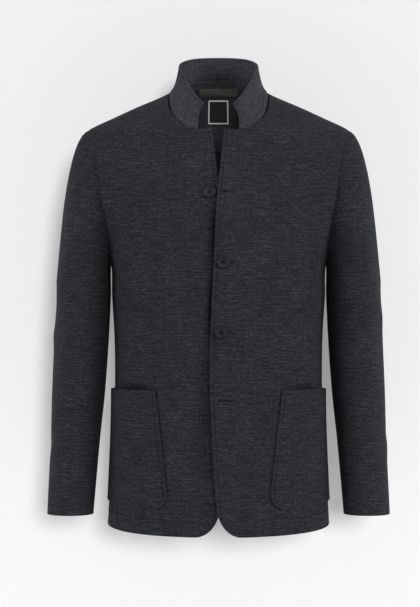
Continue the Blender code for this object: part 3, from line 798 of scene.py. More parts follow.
# Run is the turn round the sleeve in degrees, which is about as many millimetres: 0 is its outer side,
# 90 its front, 180 its inner side and -90 its back.
SLEEVE_CREASES = {
    "left": (
        Crease(146, -392, 62, -420, 9.0, -2.0, 6),
        Crease(150, -428, 52, -446, 11.0, 2.0, 5),
        Crease(142, -462, 70, -474, 9.0, -1.7, -4),
        Crease(20, -352, -44, -388, 14.0, 1.6, 5),
        Crease(84, -532, 18, -556, 13.0, -1.6, 6),
        Crease(40, -566, -36, -598, 14.0, 1.4, 5),
        Crease(96, -618, 30, -638, 12.0, -1.3, 4),
        Crease(118, -236, 70, -330, 14.0, -2.0, 5),
        Crease(92, -120, 62, -300, 18.0, 1.6, 4),
        Crease(20, -170, 10, -380, 24.0, -1.4, 4),
        Crease(-62, -372, -118, -420, 12.0, -2.2, 5),
        Crease(-52, -420, -116, -452, 11.0, 2.2, 4),
        Crease(-44, -452, -112, -492, 12.0, -2.0, 5),
        Crease(-70, -180, -100, -330, 18.0, -2.2, 5),
        Crease(62, -470, 66, -694, 20.0, 1.2, 3),
    ),
    "right": (
        Crease(148, -382, 70, -404, 10.0, 1.8, 5),
        Crease(144, -412, 56, -436, 9.0, -2.1, 6),
        Crease(150, -452, 64, -462, 11.0, 1.7, -4),
        Crease(16, -340, -50, -370, 13.0, -1.6, 5),
        Crease(36, -386, -30, -410, 13.0, 1.5, 4),
        Crease(90, -506, 22, -528, 12.0, 1.5, 5),
        Crease(60, -556, -20, -590, 14.0, -1.6, 5),
        Crease(98, -604, 34, -628, 12.0, 1.3, 5),
        Crease(116, -228, 68, -320, 15.0, -2.1, 5),
        Crease(90, -130, 58, -310, 19.0, 1.5, 4),
        Crease(16, -180, 8, -400, 24.0, -1.3, -4),
        Crease(-60, -380, -116, -428, 12.0, 2.1, 5),
        Crease(-50, -410, -118, -446, 11.0, -2.2, 4),
        Crease(-46, -466, -110, -500, 12.0, -1.9, 5),
        Crease(-68, -190, -98, -340, 18.0, -2.1, 5),
        Crease(66, -480, 60, -690, 20.0, -1.1, 3),
    ),
}


def sleeve_line(side, turn):
    """A sleeve's points at one turn, from the armhole over the cap, then down to the cuff."""
    swing = math.radians(turn)
    over = math.cos(swing)

    def ring_point(height):
        ring = along(SLEEVE, height)
        return Vector((ring.centre_x + ring.half_width * over,
                       ring.centre_y - ring.half_depth * math.sin(swing), height))

    start, normal = body_place(side, *armhole_place(turn))
    start = start - normal * SLEEVE_TUCK
    start.x = start.x * side - SLEEVE_TUCK
    end = ring_point(SLEEVE[-1].height)
    reach = SLEEVE_PIT_REACH + (SLEEVE_HEAD_REACH - SLEEVE_PIT_REACH) * (1 + over) / 2
    crown = max(over, 0)
    leave = start + Vector((reach, -SLEEVE_FORWARD_SWELL * math.sin(swing), -SLEEVE_HEAD_DROP * crown))
    arrive = end + Vector((-SLEEVE_CROWN_PULL * crown, 0, SLEEVE_FALL_SHARE * (start.z - end.z)))
    line = []
    for row in range(SLEEVE_CAP_ROWS):
        t = row / SLEEVE_CAP_ROWS
        line.append(start * (1 - t) ** 3 + leave * 3 * t * (1 - t) ** 2
                    + arrive * 3 * t**2 * (1 - t) + end * t**3)
    for row in range(SLEEVE_ARM_ROWS + 1):
        line.append(ring_point(end.z + (SLEEVE[0].height - end.z) * row / SLEEVE_ARM_ROWS))
    return line


def cuff_rim(i, j):
    return j == SLEEVE_CAP_ROWS + SLEEVE_ARM_ROWS


def sleeve_piece(word, side, first, last, shift):
    """Outer and inner points and weave of one sleeve piece, between two seams that run its length."""
    turns = list(range(first - SLEEVE_DEGREES, last + SLEEVE_DEGREES + 1, SLEEVE_DEGREES))
    lines = [sleeve_line(side, turn) for turn in turns]
    rows = len(lines[0]) - 1
    outer = []
    inner = []
    weave = []
    for i in range(1, len(turns) - 1):
        turn = turns[i] if turns[i] <= 180 else turns[i] - 360
        outer_line = []
        inner_line = []
        weave_line = [0.0]
        for before, after in zip(lines[i][::-1], lines[i][-2::-1]):
            weave_line.append(weave_line[-1] + (after - before).length)
        for j, point in enumerate(lines[i]):
            ahead = lines[i][min(j + 1, rows)] - lines[i][max(j - 1, 0)]
            normal = (lines[i + 1][j] - lines[i - 1][j]).cross(ahead).normalized()
            from_seam = smooth_step(j / SLEEVE_SMOOTH_ROWS)
            place = point + normal * crease_rise(SLEEVE_CREASES[word], turn, point.z) * from_seam
            outer_line.append(mirrored(place, side))
            inner_line.append(mirrored(place - normal * CLOTH, side))
        outer.append(outer_line)
        inner.append(inner_line)
        weave.append([((turns[i] + shift) * MM, (up + 0.3 * shift) * MM) for up in weave_line[::-1]])
    return outer, inner, weave


for word, side, shift in (("left", 1, 12000), ("right", -1, 15000)):
    upper = sew_shell("upper_sleeve_%s_cloth" % word,
                      *sleeve_piece(word, side, SLEEVE_BACK_SEAM - 360, SLEEVE_FRONT_SEAM, shift),
                      wool, SEWN_RIM, cuff_rim)
    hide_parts("upper_sleeve_" + word)
    under = sew_shell("under_sleeve_%s_cloth" % word,
                      *sleeve_piece(word, side, SLEEVE_FRONT_SEAM, SLEEVE_BACK_SEAM, shift + 900),
                      wool, SEWN_RIM, cuff_rim)
    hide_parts("under_sleeve_" + word)


# STAND COLLAR
# One band of doubled wool, turned at its top edge and slanted front ends, and sewn to the neckline all
# round. It leans in to the neck and stands by its own stiffness.
TopRow = namedtuple("TopRow", "step width depth height")
COLLAR_TOP = (    # the top edge from the front end to the centre back, and one row past it
    TopRow(0, 24.1, -60.0, -16.7), TopRow(1, 37.4, -50.0, -2.5), TopRow(2, 46.5, -39.0, 10.0),
    TopRow(3, 54.3, -27.0, 21.7), TopRow(4, 60.8, -13.0, 34.8), TopRow(5, 66.5, 3.0, 50.5),
    TopRow(6, 61.5, 18.0, 58.5), TopRow(7, 46.5, 33.0, 64.5), TopRow(8, 25.0, 42.0, 67.2),
    TopRow(9, 0.0, 45.0, 67.8), TopRow(10, -25.0, 42.0, 67.2),
)
LeanRow = namedtuple("LeanRow", "share lean end_lean")
COLLAR_LEAN = (
    LeanRow(0.0, 0.0, 0.0), LeanRow(0.22, 0.46, 0.01), LeanRow(0.55, 0.75, 0.14),
    LeanRow(1.0, 1.0, 1.0),
)
COLLAR_END_STEPS = 2
COLLAR_WALL = 3.0
COLLAR_TUCK_IN = 1.5
COLLAR_TUCK_MORE = 1.7    # added at the front, where the seam shows as a groove
COLLAR_TUCK_DOWN = 1.6
COLLAR_TUCK_SLOPE = 13    # the tuck ends at one part in this many of the band's height
COLLAR_GROOVE_STEPS = 3    # steps from the front end with the full groove, and those over which it fades
COLLAR_GROOVE_FADE = 2
COLLAR_ROWS = 22
COLLAR_SHIFT = 18000
COLLAR_MIDDLE = -8.0    # depth of the neck's middle


def neck_base():
    """The neckline from the front end on the wearer's left, round the back, to the right."""
    places = chain(front_neckline(5 * FINE), back_neckline(4 * FINE)[::-1])
    left = [body_place(1, *place)[0] for place in places]
    right = [body_place(-1, *place)[0] for place in places]
    return left + right[-2::-1]


def collar_wall():
    """Outer and inner points of the band and its weave. Its foot is tucked under the neckline's edge."""
    base = neck_base()
    last = len(base) - 1
    outer = []
    inner = []
    weave = []
    length = 0.0
    for i, point in enumerate(base):
        length += (point - base[max(i - 1, 0)]).length
        run = base[min(i + FINE // 2, last)] - base[max(i - FINE // 2, 0)]
        inward = Vector((-run.y, run.x, 0)).normalized()
        step = min(i, last - i) / FINE
        row = along(COLLAR_TOP, step)
        way = Vector((row.width * (1 if i <= last / 2 else -1), row.depth, row.height)) - point
        from_end = smooth_step(step / COLLAR_END_STEPS)
        outer_line = []
        inner_line = []
        for j in range(COLLAR_ROWS + 1):
            share = j / COLLAR_ROWS
            lean = along(COLLAR_LEAN, share)
            lean_x = lean.end_lean + (lean.lean - lean.end_lean) * from_end
            place = point + Vector((way.x * lean_x, way.y * lean.lean, way.z * share))
            tuck = max(1 - COLLAR_TUCK_SLOPE * share, 0)
            faded = smooth_step((step - COLLAR_GROOVE_STEPS) / COLLAR_GROOVE_FADE)
            tuck_in = COLLAR_TUCK_IN + COLLAR_TUCK_MORE * (1 - faded)
            place += inward * tuck_in * tuck - Vector((0, 0, COLLAR_TUCK_DOWN * tuck))
            outer_line.append(place)
            inner_line.append(place + inward * COLLAR_WALL)
        outer.append(outer_line)
        inner.append(inner_line)
        weave.append([((length + COLLAR_SHIFT) * MM, (way.length * j / COLLAR_ROWS + COLLAR_SHIFT) * MM)
                      for j in range(COLLAR_ROWS + 1)])
    return outer, inner, weave


def collar_rim(i, j):
    return j > 0


# The collar's wool is a lighter copy of the body's: painted light, for the band catching more light where it
# leans up and sideways.
collar_lit_wool = melange_wool("melange_wool_painted_lighter", "#212225", "#36373b", "#535459")
collar_points = collar_wall()
collar = sew_shell("collar_cloth", *collar_points, collar_lit_wool, SEWN_RIM, collar_rim)
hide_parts("collar")


# BACK NECK FACING AND LABELS
# A facing of thin dark twill lines the inside of the back neck. A woven strip and a square label, both bare,
# are sewn to it by their edges, one under the other.
TRIM_WALL = 1.0
TRIM_RIM = 0.3
FACING_STAND_OFF = CLOTH + 2.0
FACING_BOTTOM = -88.0
FACING_HALF_WIDTH = 52.0
FACING_BOTTOM_ANGLE = 19.0
FACING_TOP_RISE = 3.5
FACING_COLUMNS = 56
FACING_ROWS = 36
LABEL_STAND_OFF = FACING_STAND_OFF + TRIM_WALL + 0.9
STRIP_HALF_WIDTH = 34.6
STRIP_TOP = 19.9
STRIP_BOTTOM = 8.5
SQUARE_HALF_WIDTH = 18.0
SQUARE_TOP = 1.7
SQUARE_BOTTOM = -39.4
SQUARE_HALF_HEIGHT = (SQUARE_TOP - SQUARE_BOTTOM) / 2
SQUARE_STEPS = 24
BORDER_INSET = 0.4
BORDER_WIDTH = 2.0


def twill(name, colour, lift, spacing):
    """Thin twill or satin: close diagonal ribs, drawn coarser than life so that they show."""
    material, tree, shader = new_material(name, 0.75, 0.25)
    weave = add_node(tree, "ShaderNodeUVMap", uv_map="weave").outputs["UV"]
    ribs = add_node(tree, "ShaderNodeTexWave",
                    {"Vector": weave, "Scale": 1 / (spacing * MM) / 20, "Distortion": 0.6, "Detail": 1.0},
                    wave_type="BANDS", bands_direction="DIAGONAL").outputs["Fac"]
    bump = add_node(tree, "ShaderNodeBump", {"Strength": 0.3, "Distance": 0.3 * MM, "Height": ribs})
    tree.links.new(mixed(tree, ribs, linear(colour), linear(lift)), shader.inputs["Base Color"])
    tree.links.new(bump.outputs["Normal"], shader.inputs["Normal"])
    return material


def add_border(material, colour):
    """A plain woven line just inside the label's edges, from the label's own weave."""
    tree = material.node_tree
    shader = tree.nodes["Principled BSDF"]
    ground = shader.inputs["Base Color"].links[0].from_socket
    weave = add_node(tree, "ShaderNodeUVMap", uv_map="weave").outputs["UV"]
    parts = add_node(tree, "ShaderNodeSeparateXYZ", {"Vector": weave})

    def worked(operation, *values):
        return add_node(tree, "ShaderNodeMath", dict(enumerate(values)), operation=operation).outputs[0]

    away = []
    for axis, half in (("X", SQUARE_HALF_WIDTH), ("Y", SQUARE_HALF_HEIGHT)):
        size = worked("ABSOLUTE", parts.outputs[axis])
        away.append(worked("SUBTRACT", half * MM, size))
    edge = worked("MINIMUM", *away)
    line = worked("COMPARE", edge, (BORDER_INSET + BORDER_WIDTH / 2) * MM, BORDER_WIDTH / 2 * MM)
    tree.links.new(mixed(tree, line, ground, linear(colour)), shader.inputs["Base Color"])


def inside_back(half_width, top, bottom, columns, rows):
    """Places of a level rectangle inside the back, from its half width and two heights."""
    grid = []
    for i in range(columns + 1):
        width = half_width * (2 * i / columns - 1)
        heights = [bottom + (top - bottom) * j / rows for j in range(rows + 1)]
        grid.append([(180 - angle_at_width(width, height), height) for height in heights])
    return grid


def lined(grid, stand_off, thick):
    """Outer and inner points and weave of a trim inside the back."""
    outer = []
    inner = []
    weave = []
    for line in grid:
        places = [body_place(1, angle, height, -stand_off) for angle, height in line]
        outer.append([point for point, normal in places])
        inner.append([point - normal * thick for point, normal in places])
        weave.append([body_weave(1, angle, height, 0) for angle, height in line])
    return outer, inner, weave


facing_grid = []
for i in range(FACING_COLUMNS + 1):
    across = 2 * i / FACING_COLUMNS - 1
    angle, height = back_neck_place(FACING_HALF_WIDTH * across)
    foot = (180 - FACING_BOTTOM_ANGLE * across, FACING_BOTTOM)
    facing_grid.append(straight(foot, (angle, height + FACING_TOP_RISE), FACING_ROWS))
facing_twill = twill("facing_twill", "#2f2f35", "#3c3c43", 1.6)
facing = sew_shell("back_neck_facing_cloth", *lined(facing_grid, FACING_STAND_OFF, TRIM_WALL),
                   facing_twill, TRIM_RIM)
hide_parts("back_neck_facing")

strip_satin = twill("label_strip_satin", "#4c4c46", "#5a5a53", 1.4)
strip_grid = inside_back(STRIP_HALF_WIDTH, STRIP_TOP, STRIP_BOTTOM, 34, 8)
strip = sew_shell("neck_label_cloth", *lined(strip_grid, LABEL_STAND_OFF, TRIM_WALL), strip_satin, TRIM_RIM)
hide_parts("neck_label")

label_satin = twill("label_satin", "#232328", "#2a2a30", 1.2)
add_border(label_satin, "#f2f2ee")
square_grid = inside_back(SQUARE_HALF_WIDTH, SQUARE_TOP, SQUARE_BOTTOM, SQUARE_STEPS, SQUARE_STEPS)
outer, inner, weave = lined(square_grid, LABEL_STAND_OFF, TRIM_WALL)
ways = [2 * i / SQUARE_STEPS - 1 for i in range(SQUARE_STEPS + 1)]
weave = [[(across * SQUARE_HALF_WIDTH * MM, up * SQUARE_HALF_HEIGHT * MM) for up in ways] for across in ways]
square = sew_shell("square_label_cloth", outer, inner, weave, label_satin, TRIM_RIM)
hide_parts("square_label")


# PATCH POCKETS
# A large patch of the same wool low on each front, wrapped back over the side seam. Its sides and rounded
# bottom are edge-stitched to the panels, and its mouth stands a little open.
POCKET_MOUTH = -491.0
POCKET_BOTTOM = -687.0
POCKET_INNER_AT_MOUTH = 103.6
POCKET_INNER_AT_BOTTOM = 81.5
POCKET_BACK_ANGLE = 102.0
POCKET_LOW_ANGLE = 30.0
POCKET_INNER_CORNER = 30.0
POCKET_BACK_CORNER = 36.0
POCKET_WALL = 2.4
POCKET_STAND_OFF = 1.0
POCKET_BELLY = 4.2
POCKET_SEWN_AT = 5.0
POCKET_DENT = 0.7
POCKET_RIM = 0.7
POCKET_COLUMNS = 64
POCKET_ROWS = 72
POCKET_RIDGE = 1.2    # the side seam under the pocket shows through it
POCKET_RIDGE_HALF_WIDTH = 2.4
pocket_seam = front_side_seam()
POCKET_EDGE_LINES = (0.0, 1.2, 2.4, 3.4, 4.2, 5.0, 5.8, 6.8, 8.2)
POCKET_LOW_LINES = (0.0, 0.25, 0.6, 1.2, 2.0, 3.0, 4.0, 5.0, 6.0, 7.2, 9.0)
POCKET_TALL = POCKET_MOUTH - POCKET_BOTTOM


def pocket_inner_angle(up, height):
    """The angle of a pocket's inner edge, from the share of the way up it."""
    width = POCKET_INNER_AT_BOTTOM + (POCKET_INNER_AT_MOUTH - POCKET_INNER_AT_BOTTOM) * up
    return angle_at_width(width, height)


def pocket_row(height):
    """The angle of a pocket's inner edge at a height, and its width in millimetres to its back edge."""
    first = pocket_inner_angle((height - POCKET_BOTTOM) / POCKET_TALL, height)
    return first, cloth_run(run_round, POCKET_BACK_ANGLE, height) - cloth_run(run_round, first, height)


def angle_at_run(run, height):
    """The angle this far round the form from the centre front."""
    low, high = 0.0, 180.0
    for _ in range(22):
        middle = (low + high) / 2
        if cloth_run(run_round, middle, height) < run:
            low = middle
        else:
            high = middle
    return (low + high) / 2


def edge_spaced(length, count):
    """Distances along an edge, close together at both ends where the sewing runs."""
    near = POCKET_EDGE_LINES[-1]
    middle = [near + (length - 2 * near) * i / count for i in range(1, count)]
    return list(POCKET_EDGE_LINES) + middle + [length - at for at in POCKET_EDGE_LINES[::-1]]


def corner_inset(radius, up):
    """How far a rounded corner draws an edge in, this far above the bottom."""
    short = max(radius - up, 0)
    return radius - math.sqrt(radius**2 - short**2)


def edge_distance(radius, side, up):
    """The distance to the sewn edge of a pocket, from the distances to its side and its bottom."""
    if side < radius and up < radius:
        return radius - math.hypot(radius - side, radius - up)
    return min(side, up)


def pocket_height(angle, up):
    """The height of a place on a pocket: its mouth is level and its bottom follows the hem."""
    slant = hem_height(angle) - hem_height(POCKET_LOW_ANGLE)
    return POCKET_BOTTOM + up + slant * (1 - up / POCKET_TALL)


def pocket_grid():
    """Places of a pocket, column by column, with each place's distance from its sewn edge."""
    low = POCKET_LOW_LINES[-1]
    heights = list(POCKET_LOW_LINES)
    heights += [low + (POCKET_TALL - low) * i / POCKET_ROWS for i in range(1, POCKET_ROWS + 1)]
    grid = []
    edge = []
    for up in heights:
        height = POCKET_BOTTOM + up
        first, width = pocket_row(height)
        start = cloth_run(run_round, first, height)
        first_inset = corner_inset(POCKET_INNER_CORNER, up)
        last_inset = corner_inset(POCKET_BACK_CORNER, up)
        line = []
        away = []
        for at in edge_spaced(width - first_inset - last_inset, POCKET_COLUMNS):
            angle = angle_at_run(start + first_inset + at, height)
            line.append((angle, pocket_height(angle, up)))
            away.append(min(edge_distance(POCKET_INNER_CORNER, first_inset + at, up),
                            edge_distance(POCKET_BACK_CORNER, width - first_inset - at, up)))
        grid.append(line)
        edge.append(away)
    return [list(column) for column in zip(*grid)], [list(column) for column in zip(*edge)]


def pocket_lift(angle, height):
    """A pocket lies on the panel at its sewn edges and stands off it in the middle of its mouth.
    It doesn't follow the body's own roll there."""
    up = max((height - POCKET_BOTTOM) / POCKET_TALL, 0)
    first = pocket_inner_angle(up, height)
    across = min(max((angle - first) / (POCKET_BACK_ANGLE - first), 0), 1)
    belly = POCKET_BELLY * math.sqrt(math.sin(math.pi * across)) * up**1.5
    seam = between(pocket_seam, (height - pocket_seam[0][1]) / (pocket_seam[1][1] - pocket_seam[0][1]))[0]
    run = cloth_run(run_round, angle, height)
    from_seam = run - cloth_run(run_round, seam, height)
    ridge = POCKET_RIDGE * math.exp(-(from_seam / POCKET_RIDGE_HALF_WIDTH) ** 2)
    return POCKET_STAND_OFF + POCKET_WALL + belly + ridge - crease_rise(MOUTH_CREASES, run, height)


for word, side, shift in (("left", 1, 21000), ("right", -1, 24000)):
    places, edge = pocket_grid()
    outer, inner, weave = on_body(places, side, pocket_lift, POCKET_WALL, shift)
    for i, line in enumerate(edge):
        for j, away in enumerate(line):
            out = (outer[i][j] - inner[i][j]).normalized()
            dent = POCKET_DENT * math.exp(-((away - POCKET_SEWN_AT) / DENT_HALF_WIDTH) ** 2)
            outer[i][j] = outer[i][j] - out * dent
    pocket = sew_shell("pocket_%s_cloth" % word, outer, inner, weave, wool, POCKET_RIM)
    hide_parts("pocket_" + word)


# BUTTONS
# Four turned horn-look buttons with a raised rim and four holes, sewn on with crossed dark thread. The top
# one is undone on the under lap, two are done up, and the lowest lies hidden under the upper lap.
ButtonRow = namedtuple("ButtonRow", "across height on_upper_lap")
BUTTONS = (
    ButtonRow(-15.1, -166.0, False),
    ButtonRow(7.5, -281.0, True),
    ButtonRow(3.6, -395.0, True),
    ButtonRow(2.0, -508.0, False),
)
BUTTON_THICKNESS = 3.0
BUTTON_HOLE_RADIUS = 0.9
BUTTON_HOLE_SPACING = 3.4
BUTTON_GAP = 0.3
# Painted shade: a near-black rim stands for the shadow round each button.
BUTTON_SHADE_RADIUS = 9.9    # the rim is darker outside this radius
BUTTON_PROFILE = (    # radius and height above the button's back, from the middle of its dish
    (0.0, 2.25), (6.4, 2.2), (7.2, 2.35), (7.9, 2.75), (8.7, 3.0), (9.7, 2.95), (10.5, 2.6), (11.0, 2.0),
    (10.8, 1.2), (10.2, 0.4), (9.6, 0.0), (0.0, 0.0),
)


def horn(name, dark, pale):
    """Pressed horn: dark with faint paler swirls, rubbed to a dull gloss."""
    material, tree, shader = new_material(name, 0.48, 0.22)
    place = add_node(tree, "ShaderNodeTexCoord").outputs["Object"]
    swirl = add_node(tree, "ShaderNodeTexNoise",
                     {"Vector": place, "Scale": 1 / (9 * MM), "Detail": 3.0, "Distortion": 1.2})
    colour = mixed(tree, swirl.outputs["Fac"], linear(dark), linear(pale))
    tree.links.new(colour, shader.inputs["Base Color"])
    shader.inputs["IOR"].default_value = 1.54
    return material


def add_button(name, row, face_horn, shaded_rim_horn):
    """A turned button, its four holes drilled through, set on the cloth; its outer edge is darker, painted
    shade where it meets the cloth.
    """
    side = 1 if row.on_upper_lap else -1
    angle = angle_at_width(side * row.across, row.height)
    lift = lap_lift(angle, row.height) if row.on_upper_lap else 0.0
    place, normal = body_place(side, angle, row.height, lift + BUTTON_GAP)
    turned = bmesh.new()
    corners = [turned.verts.new((radius, 0, up)) for radius, up in BUTTON_PROFILE]
    for before, after in zip(corners, corners[1:]):
        turned.edges.new((before, after))
    bmesh.ops.spin(turned, geom=turned.verts[:] + turned.edges[:], cent=(0, 0, 0), axis=(0, 0, 1),
                   angle=2 * math.pi, steps=48, use_merge=True)
    bmesh.ops.remove_doubles(turned, verts=turned.verts[:], dist=0.01)
    bmesh.ops.recalc_face_normals(turned, faces=turned.faces[:])
    drills = bmesh.new()
    for across in (-0.5, 0.5):
        for up in (-0.5, 0.5):
            made = bmesh.ops.create_cone(drills, cap_ends=True, segments=16, radius1=BUTTON_HOLE_RADIUS,
                                         radius2=BUTTON_HOLE_RADIUS, depth=3 * BUTTON_THICKNESS)
            bmesh.ops.translate(drills, verts=made["verts"],
                                vec=(across * BUTTON_HOLE_SPACING, up * BUTTON_HOLE_SPACING, 0))
    blank = add_object("blank", take_mesh("blank", turned))
    drill = add_object("drill", take_mesh("drill", drills))
    cut = blank.modifiers.new("four holes", "BOOLEAN")
    cut.operation = "DIFFERENCE"
    cut.object = drill
    bpy.context.view_layer.update()
    mesh = bpy.data.meshes.new_from_object(blank.evaluated_get(bpy.context.evaluated_depsgraph_get()))
    for shape in (blank, drill):
        bpy.data.objects.remove(shape)
    mesh.name = name
    mesh.materials.clear()
    mesh.materials.append(face_horn)
    mesh.materials.append(shaded_rim_horn)
    for face in mesh.polygons:
        face.material_index = int(face.center.xy.length > BUTTON_SHADE_RADIUS)
    mesh.transform(Matrix.Translation(place * MM) @ normal.to_track_quat("Z", "Y").to_matrix().to_4x4()
                   @ Matrix.Scale(MM, 4))
    mesh.shade_smooth()
    mesh.set_sharp_from_angle(angle=math.radians(50))
    button = add_object(name, mesh)
    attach(button, "root")
    button_places.append((place, normal))
    return button


button_places = []
horn_face = horn("pressed_horn", "#131518", "#202226")
# The near-black rim horn is painted shade: the dark outline where each button stands on the cloth.
horn_painted_shade = horn("pressed_horn_painted_shade", "#040405", "#09090b")
for number, row in enumerate(BUTTONS, 1):
    button = add_button("button_%d_horn" % number, row, horn_face, horn_painted_shade)
    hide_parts("button_%d" % number)


# SEWING
# Dark polyester thread: topstitching on the collar, the front edges, the pockets and the turned hem, worked
# keyhole buttonholes on the upper lap, and crossed threads that hold the buttons.
Bead = namedtuple("Bead", "length width height")
STITCH = Bead(2.5, 1.1, 0.8)
STITCH_PITCH = 3.2
STITCH_LIFT = 0.1    # the middle of a stitch above the cloth
POCKET_STITCH_LIFT = 0.2
HEM_DEPTH = 27.0
HEM_SEWN_FROM = 88.0
HEM_LINE_STEPS = 90
HEM_RISE_STEPS = 8
HoleRow = namedtuple("HoleRow", "eye tail height")
BUTTONHOLES = (
    HoleRow(9.6, 22.7, -166.0), HoleRow(7.5, 23.7, -281.0),
    HoleRow(3.6, 21.8, -395.0), HoleRow(1.6, 22.1, -508.0),
)
HOLE_EYE = 2.2
HOLE_HALF_WIDTH = 0.5
HOLE_PITCH = 0.8
# Heights of the flat beads that paint the shade in a buttonhole's open slit and eye.
SLIT_SHADE_HEIGHT = 0.5
EYE_SHADE_HEIGHT = 0.6
HOLE_BAR = Bead(3.4, 1.2, 0.8)
EDGE_PURL = Bead(0.9, 0.5, 0.4)
EDGE_PURL_OFF = 0.3
EYE_PURL = Bead(1.3, 0.8, 0.7)
EYE_PURL_OFF = 0.4
EYE_PURLS = 9
EYE_FROM = 40    # degrees round the eye, which is open towards the slit
EYE_SWEEP = 280
BUTTON_THREAD = Bead(BUTTON_HOLE_SPACING * math.sqrt(2) + 2.0, 1.5, 0.9)
THREAD_LEVEL = 2.4    # above a button's back, just over the floor of its dish
THREAD_CROSSING = 0.3    # the second thread lies this far over the first
UPRIGHT = Vector((0, 0, 1))


def thread(name, dark, pale):
    """Twisted polyester thread, smoother than the wool, with fine flecks where it is twisted."""
    material, tree, shader = new_material(name, 0.7, 0.1)
    place = add_node(tree, "ShaderNodeTexCoord").outputs["Object"]
    twist = add_node(tree, "ShaderNodeTexNoise", {"Vector": place, "Scale": 1 / (0.8 * MM), "Detail": 1.0})
    colour = mixed(tree, twist.outputs["Fac"], linear(dark), linear(pale))
    tree.links.new(colour, shader.inputs["Base Color"])
    return material


ball = bmesh.new()
bmesh.ops.create_uvsphere(ball, u_segments=6, v_segments=4, radius=1.0)
ball.verts.index_update()
bead_corners = [corner.co.copy() for corner in ball.verts]
bead_faces = [[corner.index for corner in face.verts] for face in ball.faces]
ball.free()


def add_bead(threads, place, along_way, out, bead):
    """One stitch: a low bead of thread that lies along the cloth."""
    ahead = (along_way - out * along_way.dot(out)).normalized()
    across = out.cross(ahead)
    corners, faces = threads
    first = len(corners)
    for corner in bead_corners:
        corners.append((place + ahead * corner.x * bead.length / 2 + across * corner.y * bead.width / 2
                        + out * corner.z * bead.height / 2) * MM)
    faces += [[first + k for k in face] for face in bead_faces]


def add_stitches(threads, line, normal_at):
    """Stitches of one pitch along a line of points."""
    passed = 0.0
    wanted = STITCH_PITCH / 2
    for before, after in zip(line, line[1:]):
        length = (after - before).length
        while wanted < passed + length:
            place = before.lerp(after, (wanted - passed) / length)
            add_bead(threads, place, after - before, normal_at(place), STITCH)
            wanted += STITCH_PITCH
        passed += length


def normal_on_form(place):
    """The direction out of the form below a point in front of the side seams or behind them."""
    side = 1 if place.x > 0 else -1
    angle = angle_at_width(abs(place.x), place.z)
    if place.y > 0:
        angle = 180 - angle
    return mirrored(torso_normal(angle, place.z), side)


def corner_sewing(radius, steps, from_back):
    """Stitches round a pocket's corner: distances from its side and bottom, and which side that is."""
    short = radius - POCKET_SEWN_AT
    swings = [math.radians(90 * i / steps) for i in range(steps + 1)]
    return [(radius - short * math.cos(swing), radius - short * math.sin(swing), from_back)
            for swing in swings]


def pocket_sewing(side):
    """The line of stitches round a pocket: down from its mouth, round both corners and up at its back."""
    inner = POCKET_INNER_CORNER
    back = POCKET_BACK_CORNER
    mouth = POCKET_TALL - 1
    places = [(POCKET_SEWN_AT, mouth - (mouth - inner) * i / 40, False) for i in range(40)]
    places += corner_sewing(inner, 12, False)
    places += corner_sewing(back, 16, True)[::-1]
    places += [(POCKET_SEWN_AT, back + (mouth - back) * i / 30, True) for i in range(1, 31)]
    line = []
    for across, up, from_back in places:
        height = POCKET_BOTTOM + up
        first, width = pocket_row(height)
        run = cloth_run(run_round, first, height) + (width - across if from_back else across)
        angle = angle_at_run(run, height)
        height = pocket_height(angle, up)
        lift = pocket_lift(angle, height) - POCKET_DENT + POCKET_STITCH_LIFT
        line.append(body_place(side, angle, height, lift)[0])
    return line


def collar_sewing():
    """The line of stitches round the collar, up one front end, along the top edge and down the other end."""
    band = collar_points[0]
    up = [band[1][j] for j in range(4, COLLAR_ROWS - 2)]
    top = [line[-2].lerp(line[-3], 0.4) for line in band[1:-1]]
    down = [band[-2][j] for j in range(COLLAR_ROWS - 3, 3, -1)]
    return up + top + down


def normal_on_collar(place):
    return Vector((place.x, place.y - COLLAR_MIDDLE, 0)).normalized()


def on_hem(side, angle, up):
    """A point on the cloth, this far above the hem."""
    return body_place(side, angle, hem_height(angle) + up, STITCH_LIFT)[0]


def on_lap(across, height):
    """A point on the upper lap and the direction out of it."""
    angle = angle_at_width(across, height)
    return body_place(1, angle, height, lap_lift(angle, height) + STITCH_LIFT)


# The thread's near-black also paints the shade of the buttonhole slits and eyes.
polyester = thread("polyester_thread_and_painted_shade", "#050506", "#0c0c0e")
threads = ([], [])
add_stitches(threads, collar_sewing(), normal_on_collar)
for line in sewing_lines:
    add_stitches(threads, line, normal_on_form)
for side in (1, -1):
    add_stitches(threads, pocket_sewing(side), normal_on_form)
    start = angle_at_width(HEM_SEWN_FROM, hem_height(30) + HEM_DEPTH)
    angles = [start + (180 - start) * i / HEM_LINE_STEPS for i in range(HEM_LINE_STEPS + 1)]
    add_stitches(threads, [on_hem(side, angle, HEM_DEPTH) for angle in angles], normal_on_form)
    rises = [HEM_DEPTH * i / HEM_RISE_STEPS for i in range(HEM_RISE_STEPS + 1)]
    add_stitches(threads, [on_hem(side, start, up) for up in rises], normal_on_form)


def finish_threads(name, threads):
    mesh = bpy.data.meshes.new(name)
    mesh.from_pydata(threads[0], [], threads[1])
    mesh.shade_smooth()
    mesh.materials.append(polyester)
    piece = add_object(name, mesh)
    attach(piece, "root")


finish_threads("topstitching", threads)

for number, (place, out) in enumerate(button_places, 1):
    threads = ([], [])
    turn = out.to_track_quat("Z", "Y")
    for k, (across, up) in enumerate(((1, 1), (1, -1))):
        way = turn @ Vector((across, up, 0))
        add_bead(threads, place + out * (THREAD_LEVEL + THREAD_CROSSING * k), way, out, BUTTON_THREAD)
    finish_threads("button_%d_thread" % number, threads)

